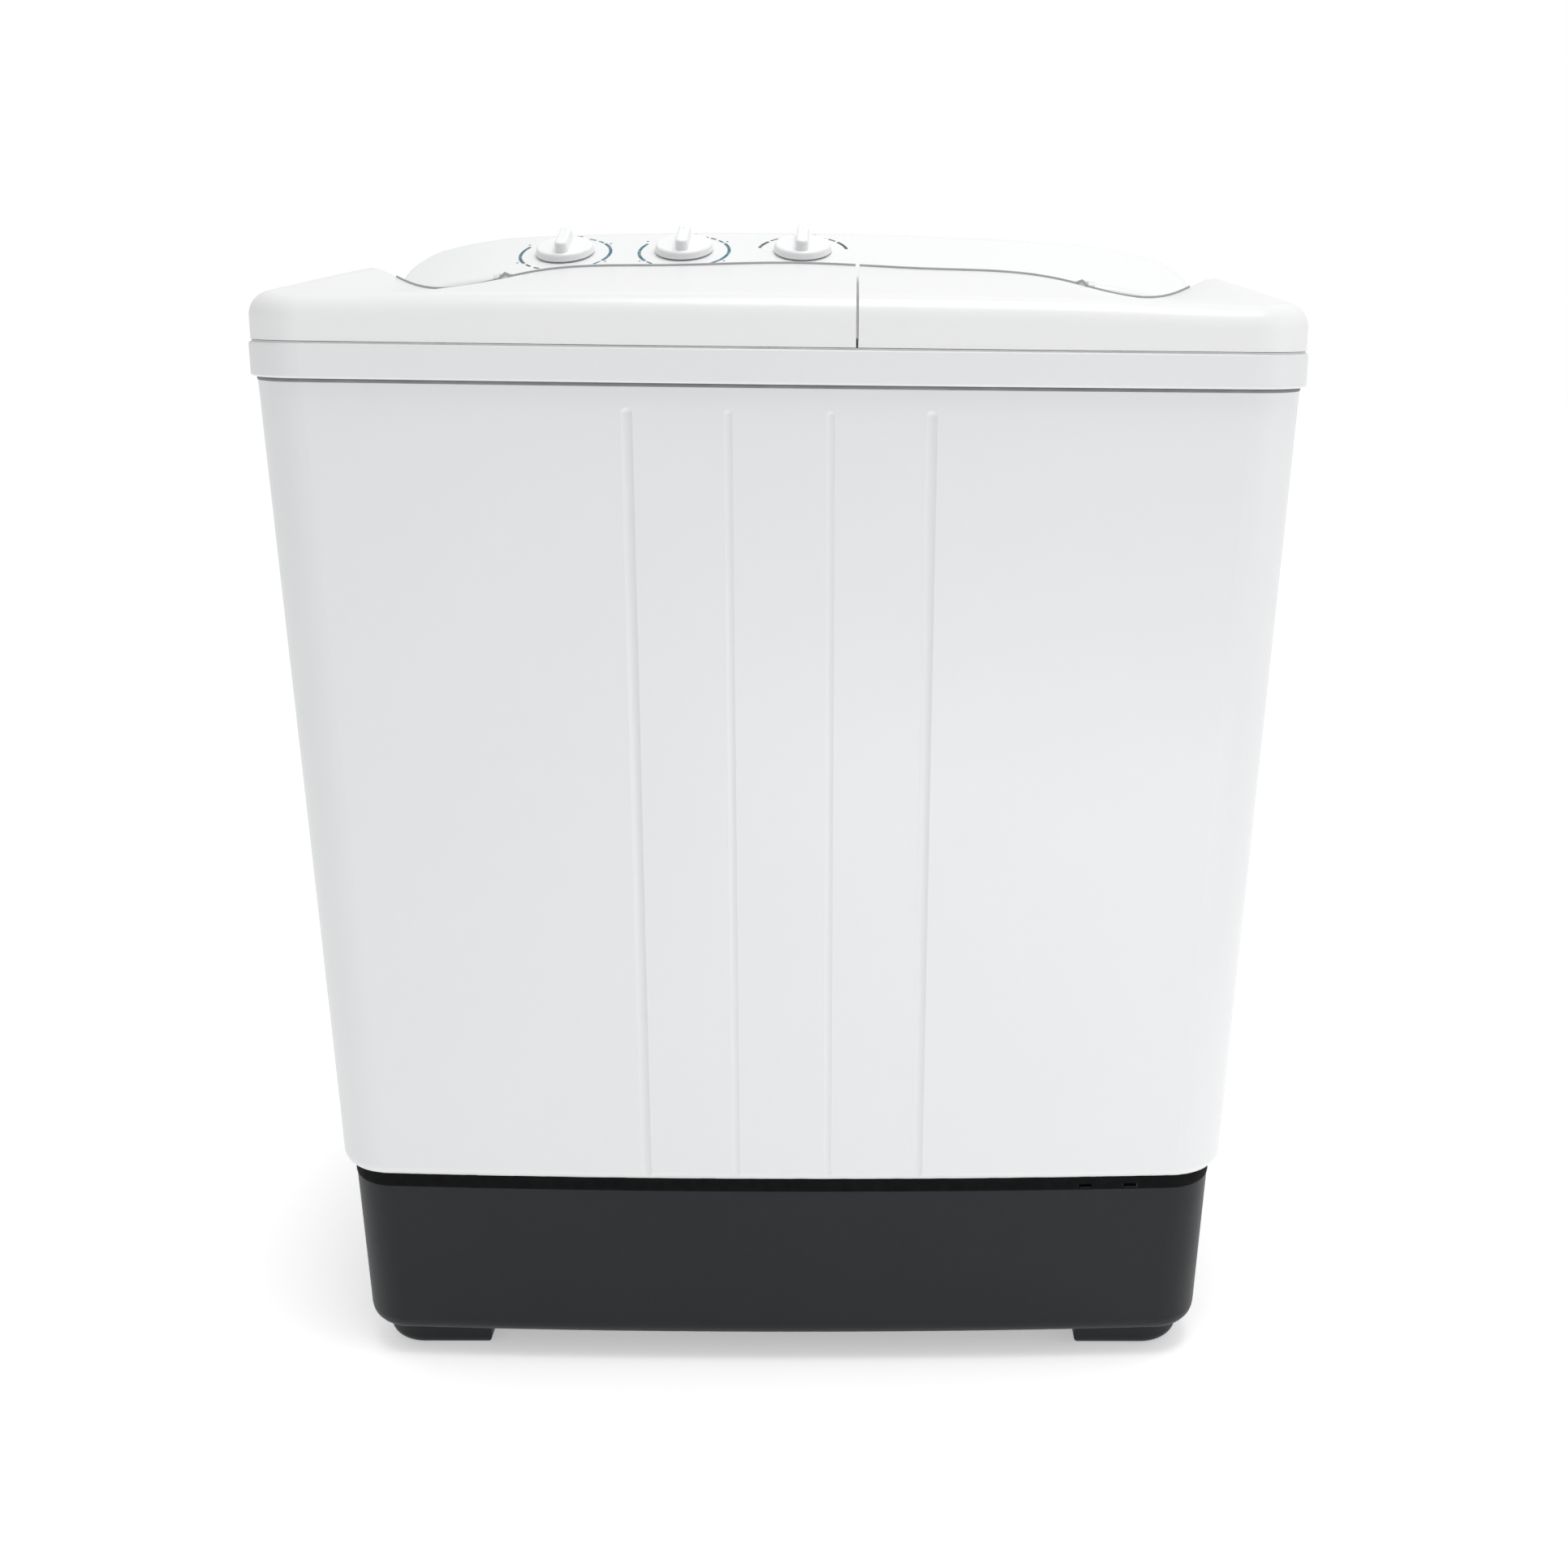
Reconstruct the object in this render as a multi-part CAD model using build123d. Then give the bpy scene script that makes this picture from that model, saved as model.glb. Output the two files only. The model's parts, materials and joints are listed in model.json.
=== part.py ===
from build123d import *
import math
import os

# Twin-tub washing machine in millimetres. X runs to the right, Y to the back and Z up.
# The origin is on the floor under the middle of the machine, and the front faces -Y.

# Overall size
WIDTH = 785.0
DEPTH = 465.0
HEIGHT = 939.0
CORNER = 52.0
FRONT_BOW = 11.0

# Levels of the outer shells
FOOT_HEIGHT = 23.0
BASE_HEIGHT = 153.0
COLLAR_BAND = 25.0
CONSOLE_RISE = 95.0
DECK = 3.5

# Charcoal base and its feet
BASE_STEP = 8.0
BASE_DRAFT = 5.0
BASE_WALL = 4.0
BASE_EDGE = 14.0
BASE_FLOOR = 5.0
RIB = 4.0
RIB_DEPTH = 5.0
PAD_WIDTH = 116.0
PAD_DEPTH = 104.0
BASE_RIM = 22.0
SLOT_WIDTH = 11.0
SLOT_HEIGHT = 3.0
SLOT_DROP = 9.0
SLOT_X = (250.0, 287.0)
FOOT_WIDTH = 94.0
FOOT_DEPTH = 86.0
FOOT_INSET = 11.0
FOOT_EDGE = 10.0
FOOT_CORNER = 36.0
PEG_R = 9.0
PEG_HEIGHT = 8.0
FIT = 0.2

# White cabinet
CABINET_STEP = 4.5
CABINET_DRAFT = 20.5
FRONT_DRAFT = 14.0
WALL = 3.0
CABINET_EDGE = 10.0
CABINET_FLANGE = 5.0
FLANGE_LEDGE = 6.0
CREASE_X = (-110.0, -37.0, 37.0, 110.0)
CREASE_DEPTH = (1.7, 0.9, 0.9, 1.7)
CREASE_R = 6.0
CREASE_TOP = 22.0

# Rear service cover
COVER_WIDTH = 520.0
COVER_HEIGHT = 330.0
COVER_RISE = 46.0
COVER_LAP = 14.0
COVER_T = 2.0
COVER_CORNER = 18.0
LOUVRE_LENGTH = 90.0
LOUVRE_GAP = 7.0
LOUVRE_PITCH = 22.0
LOUVRE_ROWS = 7
SCREW_R = 1.8
SCREW_HEAD_R = 4.5
SCREW_HEAD = 2.2
SCREW_LENGTH = 9.0

# Collar and its two mouths
COLLAR_WALL = 3.0
COLLAR_EDGE = 2.0
MOUTH_LIP = 10.0
MOUTH_RIM = 4.0
MOUTH_CORNER = 48.0
SPIN_MOUTH_LIP = 10.0

# Lids
LID_GAP = 1.5
LID_STEP = 1.5
LID_FRONT_RISE = 37.5
LID_REAR_RISE = 64.0
LID_FRONT_CROWN = 6.0
LID_DIP = 21.5
LID_DIP_FROM_SIDE = 52.0
LID_SIDE_DROP = 7.0
LID_EDGE = 18.0
LID_WALL = 3.0
SEAM = 1.6
LID_RIB = 2.0
HINGE_Y_FROM_CONSOLE = 24.0
HINGE_RISE = 45.0
LID_REAR_GAP = 10.0
HINGE_R = 7.0
PIN_R = 3.0
PIN_RUN = 0.08
LUG = 10.0
EAR = 6.0
LUG_SIDE = 0.5
LUG_FROM_SIDE = 136.0
LUG_FROM_SEAM = 35.0
BUMPER_R = 4.0
BUMPER_FROM_SIDE = 150.0
BUMPER_FROM_SEAM = 60.0

# Console
CONSOLE_DEPTH = 118.0
CONSOLE_REAR = 6.5
CONSOLE_SIDE = 20.0
CONSOLE_TILT = 21.0
CONSOLE_FLAT = 16.0
CONSOLE_WALL = 3.0
CONSOLE_CORNER = 48.0
CROWN_HALF = 255.0
CROWN_R = 5000.0
CROWN_FALL = 36.0
CONSOLE_EDGE = 10.0
CONSOLE_BEND = 24.0

# Dials on the console: wash timer, wash selector, spin timer
DIAL_X = (-218.0, -107.0, 4.0)
DIAL_FROM_REAR = 64.0
KNOB_R = 27.0
KNOB_SKIRT = 7.0
KNOB_HEIGHT = 17.0
KNOB_GRIP = 12.0
KNOB_LIFT = 1.6
STEM_R = 5.0
STEM_RUN = 0.06
STEM_DEPTH = 11.0
DIAL_BODY = 56.0
DIAL_BODY_DEPTH = 36.0
SEAT_GAP = 0.3

# Wash tub
TUB_WALL = 3.0
TUB_FLOOR = 4.0
TUB_GAP = 3.0
TUB_FLANGE = 8.0
FLANGE_T = 4.0
WASH_FLOOR = 378.5
WASH_TAPER = 15.0
WASH_REAR_SPACE = 40.0
WASH_CORNER = 70.0
PULSATOR_SHIFT = 12.0
RECESS = 16.0
RECESS_MARGIN = 10.0

# Pulsator and its drive
PULSATOR_GAP = 6.0
PULSATOR_LIFT = 4.0
PULSATOR_RIM = 8.0
PULSATOR_DOME = 34.0
VANE_RISE = 22.0
VANE_WIDTH = 30.0
VANES = 4
HUB_R = 18.0
PULSATOR_SHAFT_R = 7.0
RUN = 0.05
HOUSING_R = 24.0
HOUSING_FLANGE_R = 58.0
HOUSING_FLANGE = 6.0
HOUSING_LENGTH = 68.0
PULLEY_GAP = 7.5
PULLEY = 15.0
GROOVE = 11.0
DRIVEN_R = 75.0
DRIVER_R = 18.0
PULLEY_LIP = 5.0
BELT = 9.0
BELT_T = 5.0
BELT_RUN = 0.3

# Wash motor
MOTOR_OFFSET = (-115.0, 107.0)
MOTOR_R = 56.0
MOTOR_HEIGHT = 110.0
MOTOR_TOP_GAP = 27.0
MOTOR_SHAFT_R = 6.0
BRACKET = 132.0
BRACKET_T = 4.0
POST_SPACING = 110.0
POST_R = 11.0
BUSH = 12.0
BUSH_R = 9.0
BOLT_R = 3.0

# Spin tub, basket and drive
SPIN_TUB_R = 152.0
SPIN_FLOOR = 351.5
SPIN_FLANGE = 6.0
BASKET_GAP = 27.0
BASKET_WALL = 2.0
BASKET_DROP = 68.0
BASKET_LIFT = 33.0
BASKET_TAPER = 4.0
BASKET_LIP = 9.0
SPIN_SHAFT_R = 5.0
SEAL_HOLE_R = 34.0
DRUM_R = 45.0
DRUM = 30.0
DRUM_GAP = 17.0
SPIN_MOTOR_R = 62.0
SPIN_MOTOR_HEIGHT = 110.0
DAMPER_R = 18.0
DAMPER_RING = 84.0
DAMPER_HEIGHT = 56.0
ARM = 5.0
ARM_WIDTH = 34.0
PAD = 6.0
BRAKE_GAP = 3.0
BRAKE_PIN_R = 4.0
PIVOT_SIDE = 7.0
PIVOT_BACK = 12.0
LEVER = 8.0
LEVER_WIDTH = 14.0
LEVER_RISE = 8.0

# Drain
DRAIN_R = 13.0
DRAIN_FROM_WALL = 40.0
PLUG_R = 17.0
PLUG = 8.0
PLUG_STEM_R = 2.8
PLUG_LIFT = 14.0
VALVE_R = 22.0
VALVE = 74.0
VALVE_WALL = 3.0
NIPPLE_R = 12.0
NIPPLE = 16.0
TAIL_STEP = 1.0
HOSE_WALL = 3.0
OUTLET_Z = 90.0
SPIN_NIPPLE_R = 9.0
STRAP_WIDTH = 10.0
STRAP = 2.0
STRAP_RISE = 10.0
CHANNEL_WIDTH = 84.0
CHANNEL_WALL = 2.5
CHANNEL_CORNER = 10.0
CHANNEL_DROP = 62.0

# Lint filter on the left wall of the wash tub
FILTER_WIDTH = 108.0
FILTER_HEIGHT = 150.0
FILTER_T = 18.0
FILTER_DROP = 108.0
FILTER_GAP = 3.0
FILTER_SHIFT = 30.0
TONGUE = 4.0
TONGUE_RUN = 0.4
RAIL = 12.0
FILTER_BAR = 8.0

# Water inlet at the back of the console
INLET_X = -300.0
INLET_R = 9.5
INLET_BORE = 6.5
INLET_POCKET = 44.0
INLET_POCKET_DEPTH = 26.0
INLET_RISE = 34.0

# Electrics
GLAND_R = 8.0
GLAND_FROM_COVER = 50.0
GLAND_RISE = 60.0
HARNESS_R = 5.0
HARNESS_FROM_SEAM = 8.0
HARNESS_FROM_REAR = 32.0
HARNESS_RISE = 12.0
CAPACITOR = (70.0, 44.0, 84.0)
SWITCH = (22.0, 16.0, 20.0)
SWITCH_FROM_SIDE = 48.0
SWITCH_FROM_LID = 40.0

# Levels and places worked out from the sizes above
COLLAR_TOP = HEIGHT - CONSOLE_RISE
COLLAR_BOTTOM = COLLAR_TOP - COLLAR_BAND
DECK_UNDER = COLLAR_TOP - DECK
CABINET_BOTTOM = FOOT_HEIGHT + BASE_HEIGHT
FLOOR_TOP = FOOT_HEIGHT + RIB_DEPTH + BASE_FLOOR
HALF = WIDTH / 2
FRONT = -DEPTH / 2
REAR = DEPTH / 2
CABINET_CORNER = CORNER - CABINET_STEP
BASE_CORNER = CABINET_CORNER - BASE_STEP

CONSOLE_BACK = REAR - CONSOLE_REAR
CONSOLE_FRONT = CONSOLE_BACK - CONSOLE_DEPTH
HINGE_Y = CONSOLE_FRONT - HINGE_Y_FROM_CONSOLE
HINGE_Z = COLLAR_TOP + HINGE_RISE
LID_REAR = HINGE_Y - LID_REAR_GAP
LID_BOTTOM = COLLAR_TOP + LID_GAP
LID_BACK_BOTTOM = COLLAR_TOP + MOUTH_RIM + LID_GAP
MOUTH_REAR = HINGE_Y - HINGE_R - MOUTH_LIP

WASH_DEPTH = DECK_UNDER - WASH_FLOOR
BASKET_R = SPIN_TUB_R - TUB_WALL - BASKET_GAP
SPIN_MOUTH_R = BASKET_R - SPIN_MOUTH_LIP


def plan(half, front, rear, corner, bow, rear_corner):
    """Outline seen from above: bowed front edge, straight sides and back, rounded corners."""
    edge = ThreePointArc((-half, front + bow), (0, front), (half, front + bow))
    rest = Polyline((half, front + bow), (half, rear), (-half, rear), (-half, front + bow))
    face = make_face(edge.edges() + rest.edges())
    face = fillet(face.vertices().group_by(Axis.Y)[0], corner)
    if rear_corner:
        face = fillet(face.vertices().group_by(Axis.Y)[-1], rear_corner)
    return face


def collar_plan(inset):
    corner = CORNER - inset
    return plan(HALF - inset, FRONT + inset, REAR - inset, corner, FRONT_BOW, corner)


def cabinet_inset(z):
    """How far the cabinet's side and front stand in from the collar at height z."""
    low = (COLLAR_BOTTOM - z) / (COLLAR_BOTTOM - CABINET_BOTTOM)
    return CABINET_STEP + CABINET_DRAFT * low, CABINET_STEP + FRONT_DRAFT * low


def cabinet_edges(z, inset):
    """Half width, front and back of the cabinet at height z."""
    side, front = cabinet_inset(z)
    return HALF - side - inset, FRONT + front + inset, REAR - CABINET_STEP - inset


def base_edges(z, inset):
    """Half width, front and back of the base at height z."""
    low = (CABINET_BOTTOM - z) / BASE_HEIGHT
    step = CABINET_STEP + BASE_STEP + BASE_DRAFT * low + inset
    return HALF - CABINET_DRAFT - step, FRONT + FRONT_DRAFT + step, REAR - step


def frustum(low, high):
    """Block with flat leaning sides between two rectangles of four corners each."""
    faces = [Face(Wire.make_polygon(low)), Face(Wire.make_polygon(high))]
    for i in range(4):
        j = (i + 1) % 4
        faces.append(Face(Wire.make_polygon([low[i], low[j], high[j], high[i]])))
    return Solid(Shell(faces))


def round_sides(solid, corner):
    return fillet([e for e in solid.edges() if abs((e % 0.5).Z) > 0.9], corner)


def tapered(z0, z1, edges, inset, corner):
    """Leaning body between two heights, with a bowed front and rounded upright corners."""
    rings = []
    for z in (z0, z1):
        half, front, rear = edges(z, inset)
        front = front - FRONT_BOW
        rings.append([(-half, front, z), (half, front, z), (half, rear, z), (-half, rear, z)])
    front = edges(z0, inset)[1]
    lean = (edges(z1, inset)[1] - front) / (z1 - z0)
    radius = (HALF**2 + FRONT_BOW**2) / (2 * FRONT_BOW)
    axis = Plane(origin=(0, front + radius * math.hypot(1, lean), z0), z_dir=(0, lean, 1))
    return round_sides(frustum(*rings) & (axis * Cylinder(radius, 4 * HEIGHT)), corner - inset)


def upright(y):
    """Plane that stands across the machine at depth y, with local axes along X and Z."""
    return Plane(origin=(0, y, 0), x_dir=(1, 0, 0), z_dir=(0, -1, 0))


def disc(radius, z, height, x=0.0, y=0.0):
    return Pos(x, y, z + height / 2) * Cylinder(radius, height)


def block(x0, x1, y0, y1, z0, z1):
    centre = Pos((x0 + x1) / 2, (y0 + y1) / 2, (z0 + z1) / 2)
    return centre * Box(x1 - x0, y1 - y0, z1 - z0)


def turned(points, x=0.0, y=0.0):
    """Solid of revolution about an upright axis, from (radius, height) points."""
    face = Plane.XZ * make_face(Polyline(*points, close=True).edges())
    return Pos(x, y, 0) * revolve(face, Axis.Z)


def ring(outer, inner, z, height, x=0.0, y=0.0):
    return disc(outer, z, height, x, y) - disc(inner, z - 1, height + 2, x, y)


def along_y(radius, x, z, y0, y1):
    return Pos(x, (y0 + y1) / 2, z) * Rot(90, 0, 0) * Cylinder(radius, y1 - y0)


def tube(points, bend, outer, inner):
    """Hose or cable along a route with rounded bends."""
    path = FilletPolyline(*points, radius=bend)
    start = Plane(origin=path @ 0, z_dir=path % 0)
    solid = sweep(start * Circle(outer), path)
    if inner:
        solid = solid - sweep(start * Circle(inner), path)
    return solid


def tub_sides():
    """Wash tub's left, right, front and back at its top, outside the wall."""
    left = -(HALF - CABINET_STEP - WALL - TUB_GAP - TUB_FLANGE)
    right = spin_axis()[0] - SPIN_TUB_R - SPIN_FLANGE - TUB_GAP - TUB_FLANGE
    front = FRONT + CABINET_STEP + WALL + FRONT_BOW + TUB_GAP + TUB_FLANGE
    rear = REAR - WASH_REAR_SPACE
    return left, right, front, rear


def spin_axis():
    side, front = cabinet_inset(SPIN_FLOOR)
    x = HALF - side - WALL - TUB_GAP - SPIN_TUB_R
    y = FRONT + front + WALL + FRONT_BOW + TUB_GAP + SPIN_TUB_R
    return x, y


TUB_LEFT, TUB_RIGHT, TUB_FRONT, TUB_BACK = tub_sides()
TUB_X = (TUB_LEFT + TUB_RIGHT) / 2
TUB_Y = (TUB_FRONT + TUB_BACK) / 2
TUB_HALF_X = (TUB_RIGHT - TUB_LEFT) / 2
TUB_HALF_Y = (TUB_BACK - TUB_FRONT) / 2
SPIN_X, SPIN_Y = spin_axis()
SEAM_X = TUB_RIGHT + TUB_FLANGE + TUB_GAP / 2
SHAFT_X = TUB_X
SHAFT_Y = TUB_Y - PULSATOR_SHIFT
DRAIN_X = DIAL_X[1]
DRAIN_Y = TUB_BACK - DRAIN_FROM_WALL
DRAIN_REACH = math.hypot(DRAIN_X - SHAFT_X, DRAIN_Y - SHAFT_Y) - VALVE_R - TUB_GAP
TUB_REACH = min(TUB_HALF_X, TUB_HALF_Y - PULSATOR_SHIFT) - WASH_TAPER - RECESS_MARGIN
RECESS_R = min(TUB_REACH, DRAIN_REACH) - TUB_WALL
PULSATOR_R = RECESS_R - PULSATOR_GAP
RECESS_FLOOR = WASH_FLOOR - RECESS
RECESS_UNDER = RECESS_FLOOR - TUB_FLOOR
TUB_UNDER = WASH_FLOOR - TUB_FLOOR
SPIN_UNDER = SPIN_FLOOR - TUB_FLOOR
MOTOR_X = SHAFT_X + MOTOR_OFFSET[0]
MOTOR_Y = SHAFT_Y + MOTOR_OFFSET[1]
HOUSING_LOW = RECESS_UNDER - HOUSING_FLANGE - HOUSING_LENGTH
PULLEY_Z = HOUSING_LOW - PULLEY_GAP - PULLEY
MOTOR_TOP = PULLEY_Z - MOTOR_TOP_GAP
BRACKET_TOP = MOTOR_TOP - MOTOR_HEIGHT
POST_TOP = BRACKET_TOP - BRACKET_T - BUSH
ARM_Z = FLOOR_TOP + PAD + DAMPER_HEIGHT
SPIN_MOTOR_TOP = ARM_Z + SPIN_MOTOR_HEIGHT
DRUM_Z = SPIN_MOTOR_TOP + DRUM_GAP
DAMPERS = [
    (SPIN_X + DAMPER_RING * math.cos(a), SPIN_Y + DAMPER_RING * math.sin(a))
    for a in (math.radians(30 + 120 * i) for i in range(3))
]
POSTS = [
    (MOTOR_X + sx * POST_SPACING / 2, MOTOR_Y + sy * POST_SPACING / 2) for sx in (-1, 1) for sy in (-1, 1)
]
DRAIN_TOP = HINGE_Z + STRAP_RISE
BRAKE_PIVOT = (SPIN_X + DRUM_R + PIVOT_SIDE, SPIN_Y + DRUM_R + PIVOT_BACK)
LEVER_Z = DRUM_Z + LEVER_RISE
FILTER_TOP = DECK_UNDER - FILTER_DROP
FILTER_LOW = FILTER_TOP - FILTER_HEIGHT
FILTER_X = TUB_LEFT + TUB_WALL + WASH_TAPER * (DECK_UNDER - FILTER_LOW) / WASH_DEPTH + FILTER_GAP
FILTER_Y = TUB_Y - FILTER_SHIFT


# Base and feet


def foot_places():
    half, front, rear = base_edges(FOOT_HEIGHT, FOOT_INSET)
    x = half - FOOT_WIDTH / 2
    front = front + FRONT_BOW + FOOT_DEPTH / 2
    return {
        "foot_front_left": (-x, front, -1, -1),
        "foot_front_right": (x, front, 1, -1),
        "foot_rear_left": (-x, rear - FOOT_DEPTH / 2, -1, 1),
        "foot_rear_right": (x, rear - FOOT_DEPTH / 2, 1, 1),
    }


def foot(x, y, side, end):
    """Block foot with its outer upright corner and its bottom edges rounded, and a peg on top."""
    face = Rectangle(FOOT_WIDTH, FOOT_DEPTH)
    outer = [v for v in face.vertices() if v.X * side > 0 and v.Y * end > 0]
    face = fillet(outer, FOOT_CORNER)
    solid = extrude(face, FOOT_HEIGHT)
    solid = fillet(solid.edges().group_by(Axis.Z)[0], FOOT_EDGE)
    return Pos(x, y, 0) * (solid + disc(PEG_R, FOOT_HEIGHT, PEG_HEIGHT))


def base_pockets():
    """Moulded pockets under the floor, with ribs between them and solid pads over the feet."""
    half, front, rear = base_edges(FOOT_HEIGHT, BASE_RIM)
    front = front + FRONT_BOW
    across = [-half, -half + PAD_WIDTH, 0.0, half - PAD_WIDTH, half]
    deep = [front, front + PAD_DEPTH, rear - PAD_DEPTH, rear]
    pockets = []
    for i in range(4):
        for j in range(3):
            if i in (0, 3) and j in (0, 2):
                continue
            x0, x1 = across[i] + RIB / 2, across[i + 1] - RIB / 2
            y0, y1 = deep[j] + RIB / 2, deep[j + 1] - RIB / 2
            pockets.append(block(x0, x1, y0, y1, FOOT_HEIGHT - 1, FOOT_HEIGHT + RIB_DEPTH))
    return pockets


def base_pan():
    solid = tapered(FOOT_HEIGHT, CABINET_BOTTOM, base_edges, 0, BASE_CORNER)
    solid = fillet(solid.edges().group_by(Axis.Z)[0], BASE_EDGE)
    solid -= tapered(FLOOR_TOP, CABINET_BOTTOM + 1, base_edges, BASE_WALL, BASE_CORNER)
    solid -= base_pockets()
    for x, y, side, end in foot_places().values():
        solid -= disc(PEG_R + FIT, FOOT_HEIGHT - 1, PEG_HEIGHT + 1 + FIT, x, y)
    for x, y in POSTS:
        solid += disc(POST_R, FLOOR_TOP, POST_TOP - FLOOR_TOP, x, y)
        solid -= disc(BOLT_R + RUN, POST_TOP - BUSH, BUSH + 1, x, y)
    for x, y in DAMPERS:
        solid += disc(DAMPER_R + BASE_WALL, FLOOR_TOP, PAD, x, y)
    wall = base_edges(OUTLET_Z, 0)[2]
    solid -= along_y(NIPPLE_R + FIT, DRAIN_X, OUTLET_Z, wall - 3 * BASE_WALL, wall + BASE_WALL)
    slot_z = CABINET_BOTTOM - SLOT_DROP
    front = base_edges(slot_z, 0)[1]
    for x in SLOT_X:
        solid -= block(
            x - SLOT_WIDTH / 2, x + SLOT_WIDTH / 2, front - 1, front + FRONT_BOW + 2 * BASE_WALL,
            slot_z - SLOT_HEIGHT / 2, slot_z + SLOT_HEIGHT / 2,
        )
    return solid


# Cabinet and rear cover


def creases():
    """Rounded grooves that run down the bowed front and fade out below the collar."""
    cuts = []
    for x, depth in zip(CREASE_X, CREASE_DEPTH):
        ends = []
        for z in (CABINET_BOTTOM - CREASE_R, COLLAR_BOTTOM - CREASE_TOP):
            side, front = cabinet_inset(z)
            bow = FRONT_BOW * (x / (HALF - side)) ** 2
            ends.append(Vector(x, FRONT + front + bow + depth - CREASE_R, z))
        run = ends[1] - ends[0]
        bar = Plane(origin=ends[0], z_dir=run) * extrude(Circle(CREASE_R), run.length)
        cuts.append(bar + Pos(*ends[1]) * Sphere(CREASE_R))
    return cuts


def cover_centre():
    return CABINET_BOTTOM + COVER_RISE + COVER_HEIGHT / 2


def cover_screw_places():
    reach_x = COVER_WIDTH / 2 + COVER_LAP / 2
    reach_z = COVER_HEIGHT / 2 + COVER_LAP / 2
    return [(x, cover_centre() + sz * reach_z) for x in (-reach_x, 0.0, reach_x) for sz in (-1, 1)]


def gland_place():
    return COVER_WIDTH / 2 + GLAND_FROM_COVER, CABINET_BOTTOM + GLAND_RISE


def cabinet():
    solid = tapered(CABINET_BOTTOM, DECK_UNDER, cabinet_edges, 0, CABINET_CORNER)
    solid = fillet(solid.edges().group_by(Axis.Z)[0], CABINET_EDGE)
    low = CABINET_BOTTOM + CABINET_FLANGE
    solid -= tapered(low, DECK_UNDER + 1, cabinet_edges, WALL, CABINET_CORNER)
    ledge = BASE_WALL + FLANGE_LEDGE
    solid -= tapered(CABINET_BOTTOM - 1, low + 1, base_edges, ledge, BASE_CORNER)
    back = REAR - CABINET_STEP
    half = COVER_WIDTH / 2
    rise = COVER_HEIGHT / 2
    cuts = creases()
    cuts.append(block(-half, half, back - 2 * WALL, back + 1, cover_centre() - rise, cover_centre() + rise))
    for x, z in cover_screw_places():
        cuts.append(along_y(SCREW_R + FIT, x, z, back - 2 * WALL, back + 1))
    x, z = gland_place()
    cuts.append(along_y(GLAND_R + FIT, x, z, back - 2 * WALL, back + 1))
    return solid - cuts


def rear_cover():
    back = REAR - CABINET_STEP
    face = RectangleRounded(COVER_WIDTH + 2 * COVER_LAP, COVER_HEIGHT + 2 * COVER_LAP, COVER_CORNER)
    solid = upright(back + COVER_T) * Pos(0, cover_centre()) * extrude(face, COVER_T)
    for column in (-1, 1):
        for row in range(LOUVRE_ROWS):
            x = column * COVER_WIDTH / 4
            z = cover_centre() + (row - (LOUVRE_ROWS - 1) / 2) * LOUVRE_PITCH
            slot = SlotOverall(LOUVRE_LENGTH, LOUVRE_GAP)
            solid -= upright(back + 2 * COVER_T) * Pos(x, z) * extrude(slot, 3 * COVER_T)
    for x, z in cover_screw_places():
        solid -= along_y(SCREW_R + FIT, x, z, back - 1, back + 2 * COVER_T)
    return solid


def rear_cover_screws():
    seat = REAR - CABINET_STEP + COVER_T
    screws = []
    for x, z in cover_screw_places():
        head = along_y(SCREW_HEAD_R, x, z, seat, seat + SCREW_HEAD)
        screws.append(head + along_y(SCREW_R, x, z, seat - SCREW_LENGTH, seat))
    return Compound(screws)


def cord_gland():
    """Moulded bush that the mains lead would leave by, clipped in the back wall."""
    back = REAR - CABINET_STEP
    x, z = gland_place()
    solid = along_y(GLAND_R, x, z, back - WALL - 3, back + 3)
    solid += along_y(GLAND_R + 4, x, z, back, back + 3)
    solid += along_y(GLAND_R + 2.5, x, z, back - WALL - 3, back - WALL)
    return solid - along_y(GLAND_R / 2, x, z, back - WALL - 4, back + 4)


# Collar with its two mouths and hinge posts


def wash_mouth(grow):
    """Wash mouth seen from above, inside the tub's walls and in front of the hinges."""
    x0 = TUB_LEFT + TUB_WALL + MOUTH_LIP
    x1 = TUB_RIGHT - TUB_WALL - MOUTH_LIP
    y0 = TUB_FRONT + TUB_WALL + MOUTH_LIP
    face = RectangleRounded(x1 - x0 + 2 * grow, MOUTH_REAR - y0 + 2 * grow, MOUTH_CORNER + grow)
    return Pos((x0 + x1) / 2, (y0 + MOUTH_REAR) / 2) * face


def spin_mouth(grow):
    return Pos(SPIN_X, SPIN_Y) * Circle(SPIN_MOUTH_R + grow)


def lug_places():
    """Middles of the two hinge lugs on each lid."""
    return {
        "wash_lid": (-HALF + LUG_FROM_SIDE, SEAM_X - LUG_FROM_SEAM),
        "spin_lid": (SEAM_X + LUG_FROM_SEAM, HALF - LUG_FROM_SIDE),
    }


def hinge_ear(x0, x1):
    """Upright post with a rounded top round the hinge axis."""
    face = Pos(HINGE_Y, HINGE_Z) * Circle(HINGE_R)
    face += Pos(HINGE_Y, (HINGE_Z + COLLAR_TOP) / 2) * Rectangle(2 * HINGE_R, HINGE_Z - COLLAR_TOP)
    return extrude(Plane(origin=(x0, 0, 0), x_dir=(0, 1, 0), z_dir=(1, 0, 0)) * face, x1 - x0)


def hinge_bore(radius, x0, x1):
    return Pos((x0 + x1) / 2, HINGE_Y, HINGE_Z) * Rot(0, 90, 0) * Cylinder(radius, x1 - x0)


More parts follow.
